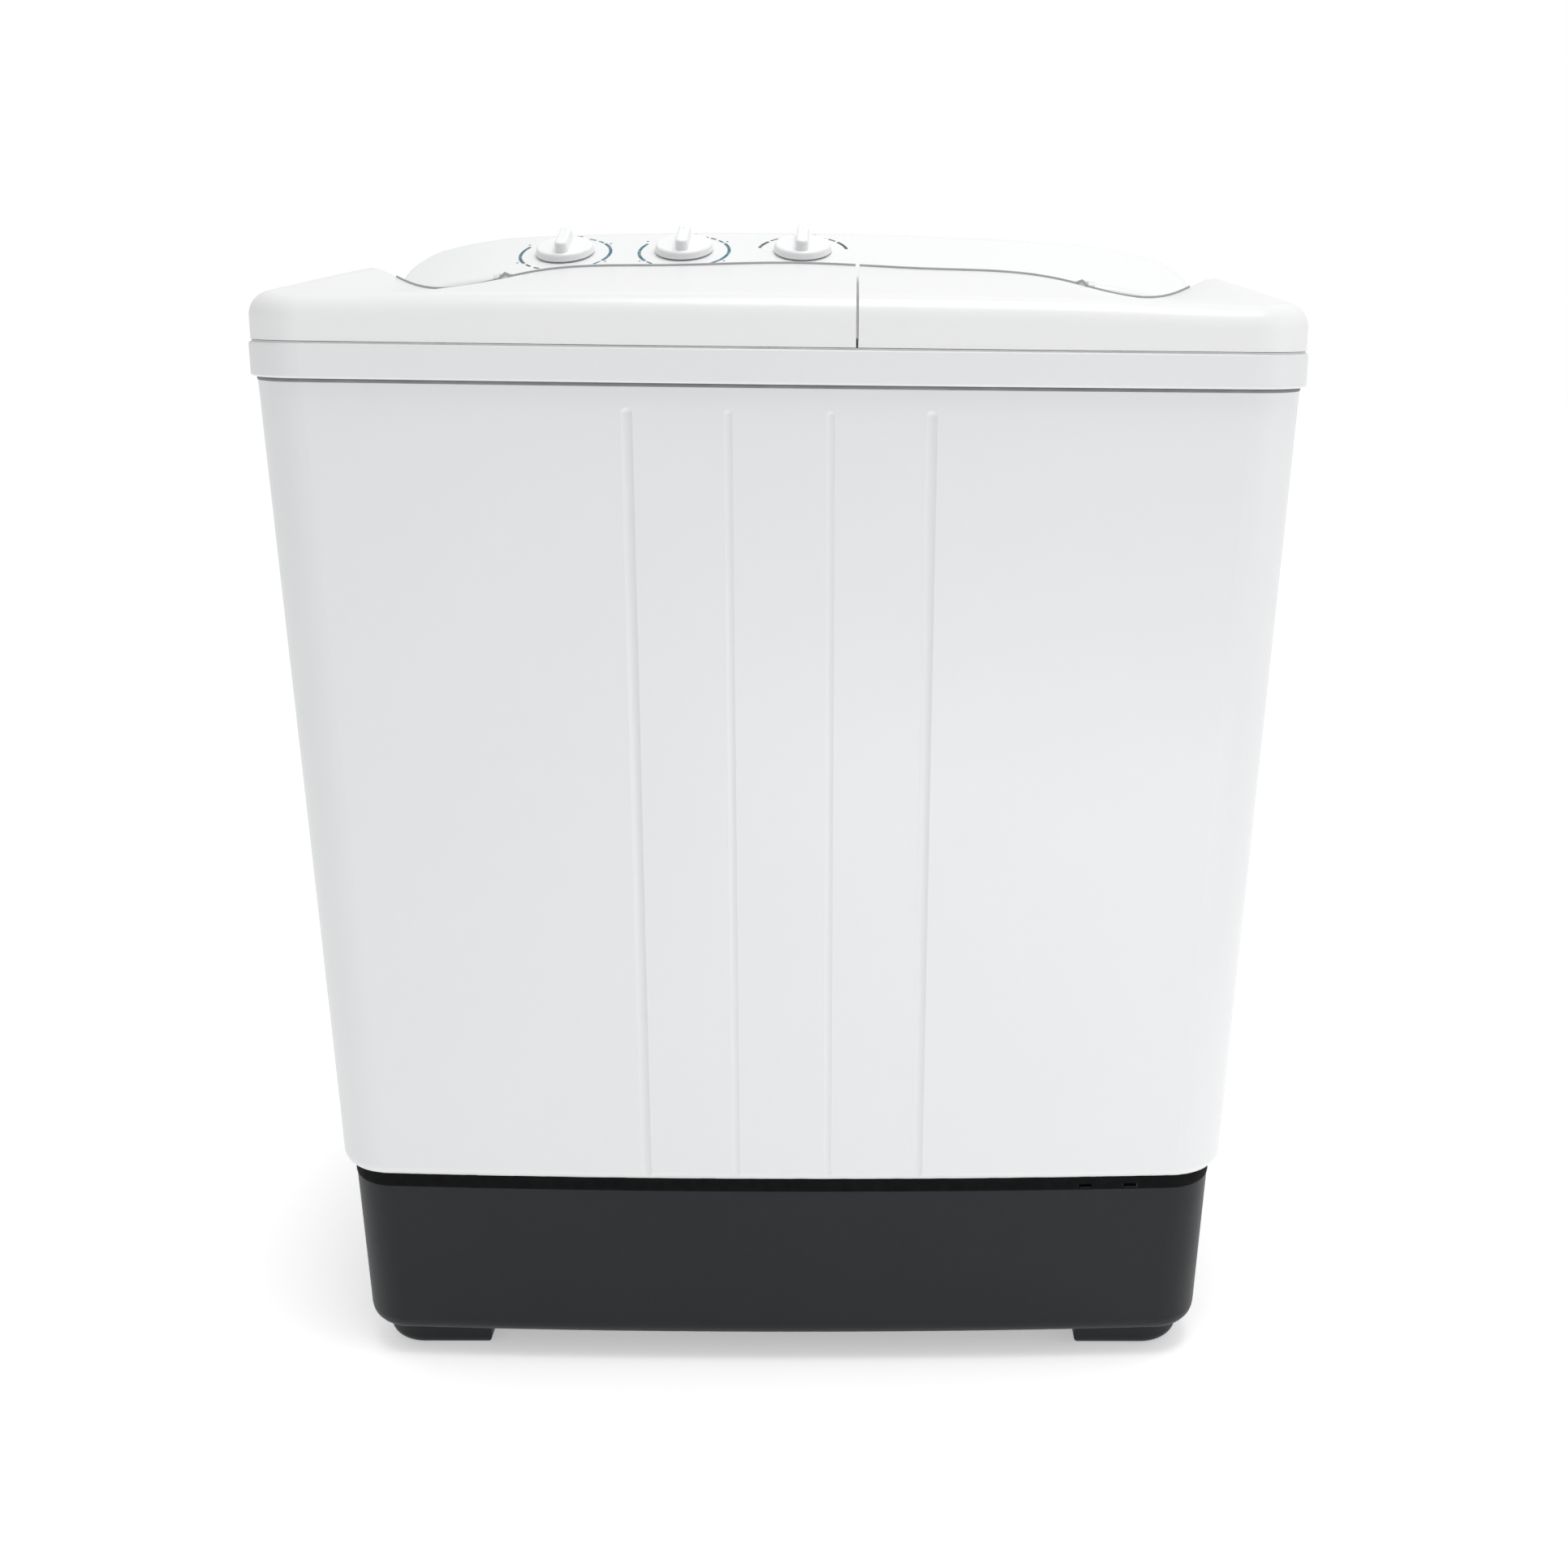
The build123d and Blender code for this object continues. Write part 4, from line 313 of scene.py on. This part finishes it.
def rubber(name, colour, rough, bloom=0.03, gloss=0.35):
    """Dull rubber with a fine grain and a pale bloom in patches."""
    tree, shader, mat = new_material(name)
    paler = tuple(c * 1.1 + bloom for c in colour)
    tint = patchy(tree, noise(tree, 35.0, 6.0, 0.65), 0.4, 0.75, colour, paler)
    sheen = ranged(tree, noise(tree, 120.0, 4.0), 0.3, 0.7, rough - 0.06, rough + 0.08)
    normal = bump(tree, noise(tree, 1600.0, 3.0), 0.5, 0.00002, soft_edges(tree, 0.0004))
    dress(tree, shader, tint, sheen, normal)
    shader.inputs["Specular IOR Level"].default_value = gloss
    return mat


def charcoal_plastic(name):
    """Charcoal base: satin skin, a little dust on what faces up, and faint scuffs."""
    tree, shader, mat = new_material(name)
    tint = patchy(tree, noise(tree, 5.0, 3.0), 0.3, 0.7, (0.0085, 0.0102, 0.0118), (0.010, 0.0118, 0.0136))
    facing = node(tree, "ShaderNodeSeparateXYZ")
    tree.links.new(node(tree, "ShaderNodeNewGeometry").outputs["Normal"], facing.inputs["Vector"])
    dust = ranged(tree, facing.outputs["Z"], 0.6, 1.0, 0.0, 0.5)
    tint = mixed(tree, dust, tint, (0.035, 0.036, 0.038))
    scuffs = ranged(tree, noise(tree, 40.0, 8.0, 0.7, (1.0, 1.0, 6.0)), 0.66, 0.82, 0.0, 0.3)
    tint = mixed(tree, scuffs, tint, (0.02, 0.022, 0.024))
    tint = mixed(tree, edge_share(tree, 0.0015), tint, (0.018, 0.02, 0.022))
    sheen = ranged(tree, noise(tree, 18.0, 3.0), 0.3, 0.7, 0.42, 0.47)
    normal = bump(tree, noise(tree, 1300.0, 2.0), 0.5, 0.00003, soft_edges(tree, 0.0006))
    dress(tree, shader, tint, sheen, normal)
    shader.inputs["Specular IOR Level"].default_value = 0.22
    return mat


def painted_steel(name, colour):
    """Painted sheet steel with orange peel and small chips along its edges."""
    tree, shader, mat = new_material(name)
    darker = tuple(c * 0.94 for c in colour)
    tint = patchy(tree, noise(tree, 7.0, 4.0), 0.35, 0.65, darker, colour)
    chips = node(tree, "ShaderNodeMath", operation="MULTIPLY")
    tree.links.new(edge_share(tree, 0.0008), chips.inputs[0])
    tree.links.new(ranged(tree, noise(tree, 160.0, 6.0), 0.55, 0.7, 0.0, 1.0), chips.inputs[1])
    tint = mixed(tree, chips.outputs["Value"], tint, (0.28, 0.28, 0.29))
    sheen = ranged(tree, noise(tree, 30.0, 4.0), 0.3, 0.7, 0.33, 0.44)
    normal = bump(tree, noise(tree, 420.0, 2.0), 0.5, 0.00006, soft_edges(tree, 0.0004))
    dress(tree, shader, tint, sheen, normal)
    return mat


def woven(name, colour):
    """Thread of the lint net: pale, fuzzy and a little uneven in colour."""
    tree, shader, mat = new_material(name)
    darker = tuple(c * 0.8 for c in colour)
    tint = patchy(tree, noise(tree, 300.0, 5.0), 0.3, 0.7, darker, colour)
    sheen = ranged(tree, noise(tree, 900.0), 0.3, 0.7, 0.6, 0.8)
    dress(tree, shader, tint, sheen, bump(tree, noise(tree, 3000.0), 0.6, 0.00005))
    shader.inputs["Sheen Weight"].default_value = 0.4
    return mat


def ink(name, colour):
    """Printed ink, a little worn in places."""
    tree, shader, mat = new_material(name)
    paler = tuple(c + (0.8 - c) * 0.35 for c in colour)
    tint = patchy(tree, noise(tree, 140.0, 6.0), 0.5, 0.75, colour, paler)
    tree.links.new(tint, shader.inputs["Base Color"])
    tree.links.new(ranged(tree, noise(tree, 400.0), 0.3, 0.7, 0.3, 0.45), shader.inputs["Roughness"])
    return mat


LOOKS = {
    "white_body": moulded("white_body", (0.715, 0.722, 0.728), 0.34),
    "white_lid": moulded("white_lid", (0.765, 0.768, 0.771), 0.3),
    # The knobs' white is lighter than the body's, partly their own white and partly painted light so they
    # read washed out.
    "knob_white": moulded("knob_white", (0.84, 0.845, 0.85), 0.28, coat=0.1),
    "charcoal": charcoal_plastic("charcoal"),
    "cover_grey": painted_steel("cover_grey", (0.60, 0.61, 0.62)),
    "tub_plastic": moulded("tub_plastic", (0.76, 0.80, 0.83), 0.3, cloud=0.03),
    "pulsator_plastic": moulded("pulsator_plastic", (0.40, 0.58, 0.74), 0.28, cloud=0.05),
    "basket_plastic": moulded("basket_plastic", (0.72, 0.77, 0.81), 0.28, cloud=0.04),
    "dark_plastic": moulded("dark_plastic", (0.06, 0.062, 0.068), 0.45, grain=1400.0, cloud=0.2, wear=0.03),
    "steel": metal("steel", (0.62, 0.62, 0.63), 0.28),
    "cast_metal": metal("cast_metal", (0.55, 0.56, 0.57), 0.5, grain=900.0, depth=0.00008, stain=0.25),
    "motor_case": painted_steel("motor_case", (0.20, 0.22, 0.24)),
    "black_rubber": rubber("black_rubber", (0.025, 0.025, 0.027), 0.6),
    "net_fabric": woven("net_fabric", (0.72, 0.80, 0.86)),
    "wire_sleeve": moulded("wire_sleeve", (0.05, 0.05, 0.055), 0.5, grain=2000.0, cloud=0.25),
}
# Console white: the body's white plastic made lighter, painted light so the panel reads washed out.
PANEL_WHITE_PAINTED_LIGHTER = moulded("panel_white_painted_lighter", (0.80, 0.805, 0.81), 0.26)
# Grey for the strip under the collar: painted shade standing for the shadowed gap there.
COLLAR_SHADE_GREY = rubber("collar_shade_grey", (0.17, 0.172, 0.176), 0.6)
# Near-black for the band over the base: a painted shadow of the cabinet's overhanging edge.
BASE_SHADOW_BLACK = rubber("base_shadow_black", (0.002, 0.0022, 0.0025), 0.8, 0.0, 0.12)
# Grey for the lids' rear lips: painted shade of the gap between the lids and the console.
LID_GAP_SHADE_GREY = rubber("lid_gap_shade_grey", (0.36, 0.365, 0.37), 0.55)
SEAL_PALE = rubber("seal_pale", (0.70, 0.705, 0.71), 0.55)
RING_INK = ink("ring_ink", (0.012, 0.125, 0.17))
# Dark ink for the dial marks, and painted shade for the screws' cross slots.
MARK_INK_AND_SLOT_SHADE = ink("mark_ink_and_slot_shade", (0.045, 0.048, 0.055))
POINTER_INK = ink("pointer_ink", (0.42, 0.44, 0.46))

for part in record["subparts"]:
    for held in nodes[part["node"]].material_slots:
        held.material = LOOKS[part["material_slot"]]
# The console gets the lighter white, painted light.
for held in nodes["console_shell"].material_slots:
    held.material = PANEL_WHITE_PAINTED_LIGHTER


# Pieces made here, on the CAD nodes or in their place


def skin_of(name):
    """Ray-cast tree of a CAD node's surface."""
    obj = nodes[name]
    corners = [obj.matrix_world @ v.co for v in obj.data.vertices]
    return BVHTree.FromPolygons(corners, [face.vertices[:] for face in obj.data.polygons])


def islands(name):
    """Lowest and highest corner of each separate solid in a CAD node."""
    obj = nodes[name]
    bm = bmesh.new()
    bm.from_mesh(obj.data)
    bmesh.ops.remove_doubles(bm, verts=bm.verts, dist=1e-6)
    boxes, seen = [], set()
    for first in bm.verts:
        if first in seen:
            continue
        seen.add(first)
        todo, found = [first], []
        while todo:
            vert = todo.pop()
            found.append(obj.matrix_world @ vert.co)
            for edge in vert.link_edges:
                other = edge.other_vert(vert)
                if other not in seen:
                    seen.add(other)
                    todo.append(other)
        boxes.append(tuple(Vector(pick(v[i] for v in found) for i in range(3)) for pick in (min, max)))
    bm.free()
    return boxes


def piece(name, bm, look, body):
    """A shown piece from a mesh in the making, on a body of the frame."""
    mesh = bpy.data.meshes.new(name)
    bm.to_mesh(mesh)
    bm.free()
    for face in mesh.polygons:
        face.use_smooth = True
    mesh.set_sharp_from_angle(angle=math.radians(SMOOTH_ANGLE))
    mesh.materials.append(look)
    obj = bpy.data.objects.new(name, mesh)
    bpy.context.scene.collection.objects.link(obj)
    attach(obj, body)
    return obj


def dial_axes(joint):
    """Centre of a dial, its outward direction, and right and up on the panel."""
    out = -Vector(joint["axis"]).normalized()
    right = Vector((1.0, 0.0, 0.0))
    right = (right - out * right.dot(out)).normalized()
    return Vector(joint["pos_m"]), out, right, out.cross(right)


def ink_arc(bm, skin, axes, radius, width, start, end):
    """Strip of ink along an arc about a dial, laid on the skin under it."""
    centre, out, right, up = axes
    steps = max(2, round(abs(end - start) / ARC_STEP))
    last = None
    for i in range(steps + 1):
        turn = math.radians(start + (end - start) * i / steps)
        aim = right * math.cos(turn) + up * math.sin(turn)
        pair = []
        for r in (radius - width / 2, radius + width / 2):
            hit = skin.ray_cast(centre + aim * r + out * RAY_START, -out)[0]
            pair.append(bm.verts.new(hit + out * INK_THICK))
        if last:
            bm.faces.new((last[0], last[1], pair[1], pair[0]))
        last = pair


def dial_prints():
    """Broken ring, ticks and a plain bar round each dial, and a pointer on its knob."""
    console = skin_of("console_shell")
    joints = {j["child"]: j for j in record["behaviour"]["joints"]}
    for knob, (ring, marks) in DIALS.items():
        axes = dial_axes(joints[knob])
        for name, look, strips in ((f"{knob}_ring", RING_INK, ring), (f"{knob}_marks", MARK_INK_AND_SLOT_SHADE, marks)):
            if strips:
                bm = bmesh.new()
                for radius, width, start, end in strips:
                    ink_arc(bm, console, axes, radius, width, start, end)
                piece(name, bm, look, "chassis")
        bm = bmesh.new()
        ink_arc(bm, skin_of(knob), axes, POINTER_R, POINTER_LENGTH, 90 - POINTER_HALF, 90 + POINTER_HALF)
        piece(f"{knob}_pointer", bm, POINTER_INK, knob)


def on_ring(bm, axis, radius, turn, z):
    """Vertex at a turn round an upright axis."""
    return bm.verts.new((axis[0] + radius * math.cos(turn), axis[1] + radius * math.sin(turn), z))


def ring_of(bm, axis, radius, z, count):
    """Ring of vertices round an upright axis."""
    return [on_ring(bm, axis, radius, 2 * math.pi * i / count, z) for i in range(count)]


def joined(bm, rings):
    """Faces between rings that follow each other."""
    for first, second in zip(rings, rings[1:]):
        count = len(first)
        for i in range(count):
            j = (i + 1) % count
            bm.faces.new((first[i], first[j], second[j], second[i]))


def holed_wall(bm, axis, radius_at, low, high):
    """Wall of revolution with a hole in each cell. Gives its end rings and the holes' rims."""
    count = 2 * HOLE_COLUMNS
    levels = [low + (high - low) * j / (2 * HOLE_ROWS) for j in range(2 * HOLE_ROWS + 1)]
    cell = ((0, 0), (1, 0), (2, 0), (2, 1), (2, 2), (1, 2), (0, 2), (0, 1))
    grid = {}
    for j, z in enumerate(levels):
        for i in range(count):
            if i % 2 == 0 or j % 2 == 0:
                grid[i, j] = on_ring(bm, axis, radius_at(z), 2 * math.pi * i / count, z)
    rims = []
    for i in range(0, count, 2):
        for j in range(0, 2 * HOLE_ROWS, 2):
            edge = [grid[(i + a) % count, j + b] for a, b in cell]
            rim = []
            for k in range(HOLE_SIDES):
                way = math.radians(HOLE_START + 360 * k / HOLE_SIDES)
                z = levels[j + 1] + HOLE_R * math.sin(way)
                radius = radius_at(z)
                turn = 2 * math.pi * (i + 1) / count + HOLE_R * math.cos(way) / radius
                rim.append(on_ring(bm, axis, radius, turn, z))
            joined(bm, [edge, rim])
            rims.append(rim)
    return [grid[i, 0] for i in range(count)], [grid[i, 2 * HOLE_ROWS] for i in range(count)], rims


def bend(radius, level, size):
    """Section of a basket's bend from its wall to its floor, as radius and height."""
    turns = [math.radians(90 * step / BEND_STEPS) for step in range(BEND_STEPS + 1)]
    return [(radius - size * (1 - math.cos(t)), level - size * math.sin(t)) for t in turns]


def perforated_basket():
    """Spin basket with rows of drain holes, in the place of the plain one."""
    lo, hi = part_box("spin_basket")
    axis = ((lo[0] + hi[0]) / 2, (lo[1] + hi[1]) / 2)
    wide = (hi[0] - lo[0]) / 2
    top = hi[2]
    floor = lo[2] + HUB_DEEP
    foot = wide - BASKET_TAPER
    wall_low = floor + BASKET_BEND
    wall_high = top - RIM_OUTLINE[0][1]

    def outer(z):
        return foot + (wide - foot) * (z - wall_low) / (wall_high - wall_low)

    def inner(z):
        return outer(z) - BASKET_SKIN

    bm = bmesh.new()
    low = floor + HOLES_ABOVE_FLOOR
    high = top - HOLES_BELOW_TOP
    out_low, out_high, out_rims = holed_wall(bm, axis, outer, low, high)
    in_low, in_high, in_rims = holed_wall(bm, axis, inner, low, high)
    for first, second in zip(out_rims, in_rims):
        joined(bm, [first, second])

    def lathed(section):
        return [ring_of(bm, axis, radius, z, 2 * HOLE_COLUMNS) for radius, z in section]

    rim = [(wide - inward, top - down) for inward, down in RIM_OUTLINE]
    joined(bm, [out_high] + lathed(rim) + [in_high])
    hub_top = floor + HUB_TALL
    hub = [(HUB_FOOT_R, floor), (HUB_R, lo[2]), (BASKET_BORE, lo[2])]
    hub += [(BASKET_BORE, hub_top), (HUB_R - HUB_CHAMFER, hub_top), (HUB_R, hub_top - HUB_CHAMFER)]
    hub += [(HUB_FOOT_R, floor + BASKET_SKIN)]
    outside = bend(foot, wall_low, BASKET_BEND)
    inside = bend(foot - BASKET_SKIN, wall_low, BASKET_BEND - BASKET_SKIN)
    joined(bm, [out_low] + lathed(outside + hub + inside[::-1]) + [in_low])
    bmesh.ops.recalc_face_normals(bm, faces=bm.faces)
    obj = piece("spin_basket_holed", bm, LOOKS["basket_plastic"], "spin_basket")
    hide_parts("spin_basket")


def thread(bm, points, across):
    """Square thread through points, closed at its ends."""
    rings = []
    for point in points:
        corners = ((THREAD_R, 0), (0, THREAD_R), (-THREAD_R, 0), (0, -THREAD_R))
        rings.append([bm.verts.new(point + Vector((a, 0, 0)) + across * b) for a, b in corners])
    joined(bm, rings)
    bm.faces.new(rings[0])
    bm.faces.new(rings[-1])


def lint_net():
    """Woven net stretched in both windows of the lint filter."""
    bm = bmesh.new()
    boxes = islands("lint_filter_net")
    upright, level = 2, 1
    for lo, hi in boxes:
        size = hi - lo
        for along, over, side in ((upright, level, 1), (level, upright, -1)):
            across = Vector((0.0, 0.0, 0.0))
            across[over] = 1.0
            count = round(size[over] / NET_PITCH)
            cells = round(size[along] / NET_PITCH)
            for i in range(count):
                points = []
                for half in range(2 * cells + 1):
                    point = lo.copy()
                    point.x += size.x / 2 + side * THREAD_R * math.sin(math.pi * (half / 2 + i))
                    point[over] += (i + 0.5) * size[over] / count
                    point[along] += half / 2 * size[along] / cells
                    points.append(point)
                thread(bm, points, across)
    bmesh.ops.recalc_face_normals(bm, faces=bm.faces)
    obj = piece("lint_net", bm, LOOKS["net_fabric"], "lint_filter")
    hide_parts("lint_filter_net")


def screw_slot_shade(name, body, out, half):
    """Flat dark cross on the head of each screw of a node, painted shade for its cross slot."""
    out = Vector(out)
    side = Vector((1.0, 0.0, 0.0))
    up = out.cross(side)
    bm = bmesh.new()
    arm = half * SLOT_ARM
    outline = ((arm, half), (arm, arm), (half, arm), (half, -arm), (arm, -arm), (arm, -half))
    outline += tuple((-a, -b) for a, b in outline)
    for lo, hi in islands(name):
        middle = (lo + hi) / 2
        face = middle + out * ((hi - lo).dot(out) / 2 + INK_THICK)
        rim = [bm.verts.new(face + side * a + up * b) for a, b in outline]
        bm.faces.new(rim)
    bmesh.ops.triangulate(bm, faces=bm.faces)
    piece(f"{name}_slots", bm, MARK_INK_AND_SLOT_SHADE, body)


def outline_of(name, z):
    """Points round a node's outside at a height, with the way out at each."""
    lo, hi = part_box(name)
    skin = skin_of(name)
    middle = Vector(((lo[0] + hi[0]) / 2, (lo[1] + hi[1]) / 2, z))
    found = []
    for i in range(OUTLINE_STEPS):
        turn = 2 * math.pi * i / OUTLINE_STEPS
        out = Vector((math.cos(turn), math.sin(turn), 0.0))
        hit, face = skin.ray_cast(middle + out, -out)[:2]
        found.append((hit, Vector((face.x, face.y, 0.0)).normalized()))
    return found


def shade_strip(name, under, top, tall, look):
    """Thin strip of painted shade round a node, from a height down, open where the node has slots."""
    bm = bmesh.new()
    rows = round(tall / STRIP_ROW)
    section = [(STRIP_GAP, STRIP_TOP_PROUD)]
    section += [(tall * row / rows, STRIP_PROUD) for row in range(1, rows)]
    section += [(tall, STRIP_FOOT_PROUD)]
    plain = outline_of(under, top - tall)
    rings = []
    sunk = []
    for drop, proud in section:
        ring = []
        for (hit, out), (rest, _) in zip(outline_of(under, top - drop), plain):
            ring.append(bm.verts.new(hit + out * proud))
            if (rest - hit).dot(out) > SLOT_DEEP:
                sunk.append(ring[-1])
        rings.append(ring)
    joined(bm, rings)
    bmesh.ops.delete(bm, geom=sunk, context="VERTS")
    bmesh.ops.recalc_face_normals(bm, faces=bm.faces)
    piece(name, bm, look, "chassis")


def lid_seal():
    """Pale soft strip on the collar, under the front and sides of the lids."""
    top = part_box("wash_lid")[0][2] - SEAL_CLEAR
    points = outline_of("tub_collar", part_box("tub_collar")[0][2] + SEAL_BAND)
    rear = OUTLINE_STEPS // 4
    bm = bmesh.new()
    rings = []
    for hit, out in points[rear:] + points[:rear]:
        if hit.y <= SEAL_BACK:
            places = [hit - out * deep for deep, _ in SEAL_SECTION]
            rings.append([bm.verts.new((p.x, p.y, top + up)) for p, (_, up) in zip(places, SEAL_SECTION)])
    joined(bm, rings)
    bmesh.ops.recalc_face_normals(bm, faces=bm.faces)
    piece("lid_seal", bm, SEAL_PALE, "chassis")


def rear_gap_shade(lid):
    """Grey lip along the rear edge of a lid, painted shade of the gap before the console."""
    lo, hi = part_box(lid)
    skin = skin_of(lid)
    start = max(lo[0] + LIP_INSET, -LIP_REACH)
    end = min(hi[0] - LIP_INSET, LIP_REACH)
    steps = round((end - start) / LIP_STEP)
    bm = bmesh.new()
    rings = []
    for i in range(steps + 1):
        x = start + (end - start) * i / steps
        z = skin.ray_cast(Vector((x, LIP_Y, hi[2] + RAY_START)), Vector((0.0, 0.0, -1.0)))[0].z
        rings.append([bm.verts.new((x, LIP_Y + back, z + up)) for back, up in LIP_SECTION])
    joined(bm, rings)
    bm.faces.new(rings[0])
    bm.faces.new(rings[-1])
    bmesh.ops.recalc_face_normals(bm, faces=bm.faces)
    piece(f"{lid}_rear_gap_shade", bm, LID_GAP_SHADE_GREY, lid)


dial_prints()
perforated_basket()
lint_net()
# Grey strip under the collar: painted shade for the shadow in its gap.
shade_strip("collar_painted_shade", "cabinet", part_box("tub_collar")[0][2], COLLAR_SHADE_TALL, COLLAR_SHADE_GREY)
# Black band over the base: painted shadow of the cabinet's overhanging edge.
shade_strip("base_painted_shadow", "base_pan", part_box("base_pan")[1][2], BASE_SHADOW_TALL, BASE_SHADOW_BLACK)
lid_seal()
rear_gap_shade("wash_lid")
rear_gap_shade("spin_lid")
screw_slot_shade("collar_screws", "chassis", (0, 0, 1), 0.0024)
screw_slot_shade("rear_cover_screws", "chassis", (0, 1, 0), 0.0030)
screw_slot_shade("pulsator_screw", "pulsator", (0, 0, 1), 0.0062)


# Studio


def softbox(name, location, target, width, height, watts):
    """Soft rectangular light turned at a point, out of the camera's sight."""
    data = bpy.data.lights.new(name, "AREA")
    data.shape = "RECTANGLE"
    data.size = width
    data.size_y = height
    data.energy = watts
    obj = bpy.data.objects.new(name, data)
    obj.location = location
    obj.rotation_euler = (Vector(target) - obj.location).to_track_quat("-Z", "Y").to_euler()
    obj.visible_camera = False
    bpy.context.scene.collection.objects.link(obj)


def studio_floor():
    """Pale floor, so large that its edge is out of sight."""
    bm = bmesh.new()
    rings = []
    for radius in FLOOR_RADII:
        rings.append(ring_of(bm, (0.0, 0.0), radius, 0.0, FLOOR_SIDES))
    bm.faces.new(rings[0])
    joined(bm, rings)
    mesh = bpy.data.meshes.new("studio_floor")
    bm.to_mesh(mesh)
    bm.free()
    obj = bpy.data.objects.new("studio_floor", mesh)
    bpy.context.scene.collection.objects.link(obj)
    tree, shader, mat = new_material("studio_floor")
    tint = mixed(tree, noise(tree, 2.0), (0.93, 0.93, 0.93), (0.95, 0.95, 0.95))
    tree.links.new(tint, shader.inputs["Base Color"])
    shader.inputs["Roughness"].default_value = 0.9
    shader.inputs["Emission Color"].default_value = (1.0, 1.0, 1.0, 1.0)
    shader.inputs["Emission Strength"].default_value = FLOOR_GLOW
    mesh.materials.append(mat)


def studio_world():
    """Room that looks white, and whose light is dimmer from the front and brighter from the right."""
    world = bpy.data.worlds.new("studio")
    bpy.context.scene.world = world
    world.use_nodes = True
    tree = world.node_tree
    split = node(tree, "ShaderNodeSeparateXYZ")
    tree.links.new(node(tree, "ShaderNodeTexCoord").outputs["Generated"], split.inputs["Vector"])
    deep = ranged(tree, split.outputs["Y"], *ROOM_DEEP, ROOM_FRONT, ROOM_BACK)
    wide = ranged(tree, split.outputs["X"], *ROOM_WIDE, ROOM_LEFT, ROOM_RIGHT)
    both = node(tree, "ShaderNodeMath", operation="MULTIPLY")
    tree.links.new(deep, both.inputs[0])
    tree.links.new(wide, both.inputs[1])
    seen = node(tree, "ShaderNodeMix", data_type="FLOAT")
    tree.links.new(node(tree, "ShaderNodeLightPath").outputs["Is Camera Ray"], seen.inputs[0])
    tree.links.new(both.outputs["Value"], seen.inputs[2])
    seen.inputs[3].default_value = 1.0
    back = tree.nodes["Background"]
    back.inputs["Color"].default_value = (1.0, 1.0, 1.0, 1.0)
    tree.links.new(seen.outputs[0], back.inputs["Strength"])


def photo_camera():
    """Camera at the photograph's place, turned as the fit says."""
    yaw, pitch, roll = (math.radians(a) for a in (CAMERA_YAW, CAMERA_PITCH, CAMERA_ROLL))
    ahead = Vector((math.sin(yaw) * math.cos(pitch), math.cos(yaw) * math.cos(pitch), -math.sin(pitch)))
    level = Vector((math.cos(yaw), -math.sin(yaw), 0.0))
    above = level.cross(ahead)
    right = level * math.cos(roll) + above * math.sin(roll)
    up = above * math.cos(roll) - level * math.sin(roll)
    data = bpy.data.cameras.new("photo_camera")
    data.sensor_width = SENSOR
    data.lens = SENSOR * FOCAL_PIXELS / FRAME_PIXELS
    data.shift_x = 0.5 - MIDDLE_X / FRAME_PIXELS
    data.shift_y = MIDDLE_Y / FRAME_PIXELS - 0.5
    obj = bpy.data.objects.new("photo_camera", data)
    turn = Matrix((right, up, -ahead)).transposed()
    obj.matrix_world = Matrix.Translation(CAMERA_PLACE) @ turn.to_4x4()
    bpy.context.scene.collection.objects.link(obj)
    bpy.context.scene.camera = obj


studio_floor()
studio_world()
softbox("overhead", (0.25, -0.45, 2.7), (0.1, -0.2, 0.7), 1.5, 1.0, 26)
softbox("right_side", (2.6, -1.2, 1.3), (0.2, 0.0, 0.6), 1.4, 2.0, 7)
softbox("left_front", (-1.5, -2.3, 1.1), (-0.3, -0.2, 0.6), 1.0, 1.2, 2)
softbox("low_front", (0.5, -1.3, 0.12), (0.2, -0.2, 0.22), 1.4, 0.2, 2.4)
photo_camera()
bpy.context.scene.view_settings.view_transform = "Standard"
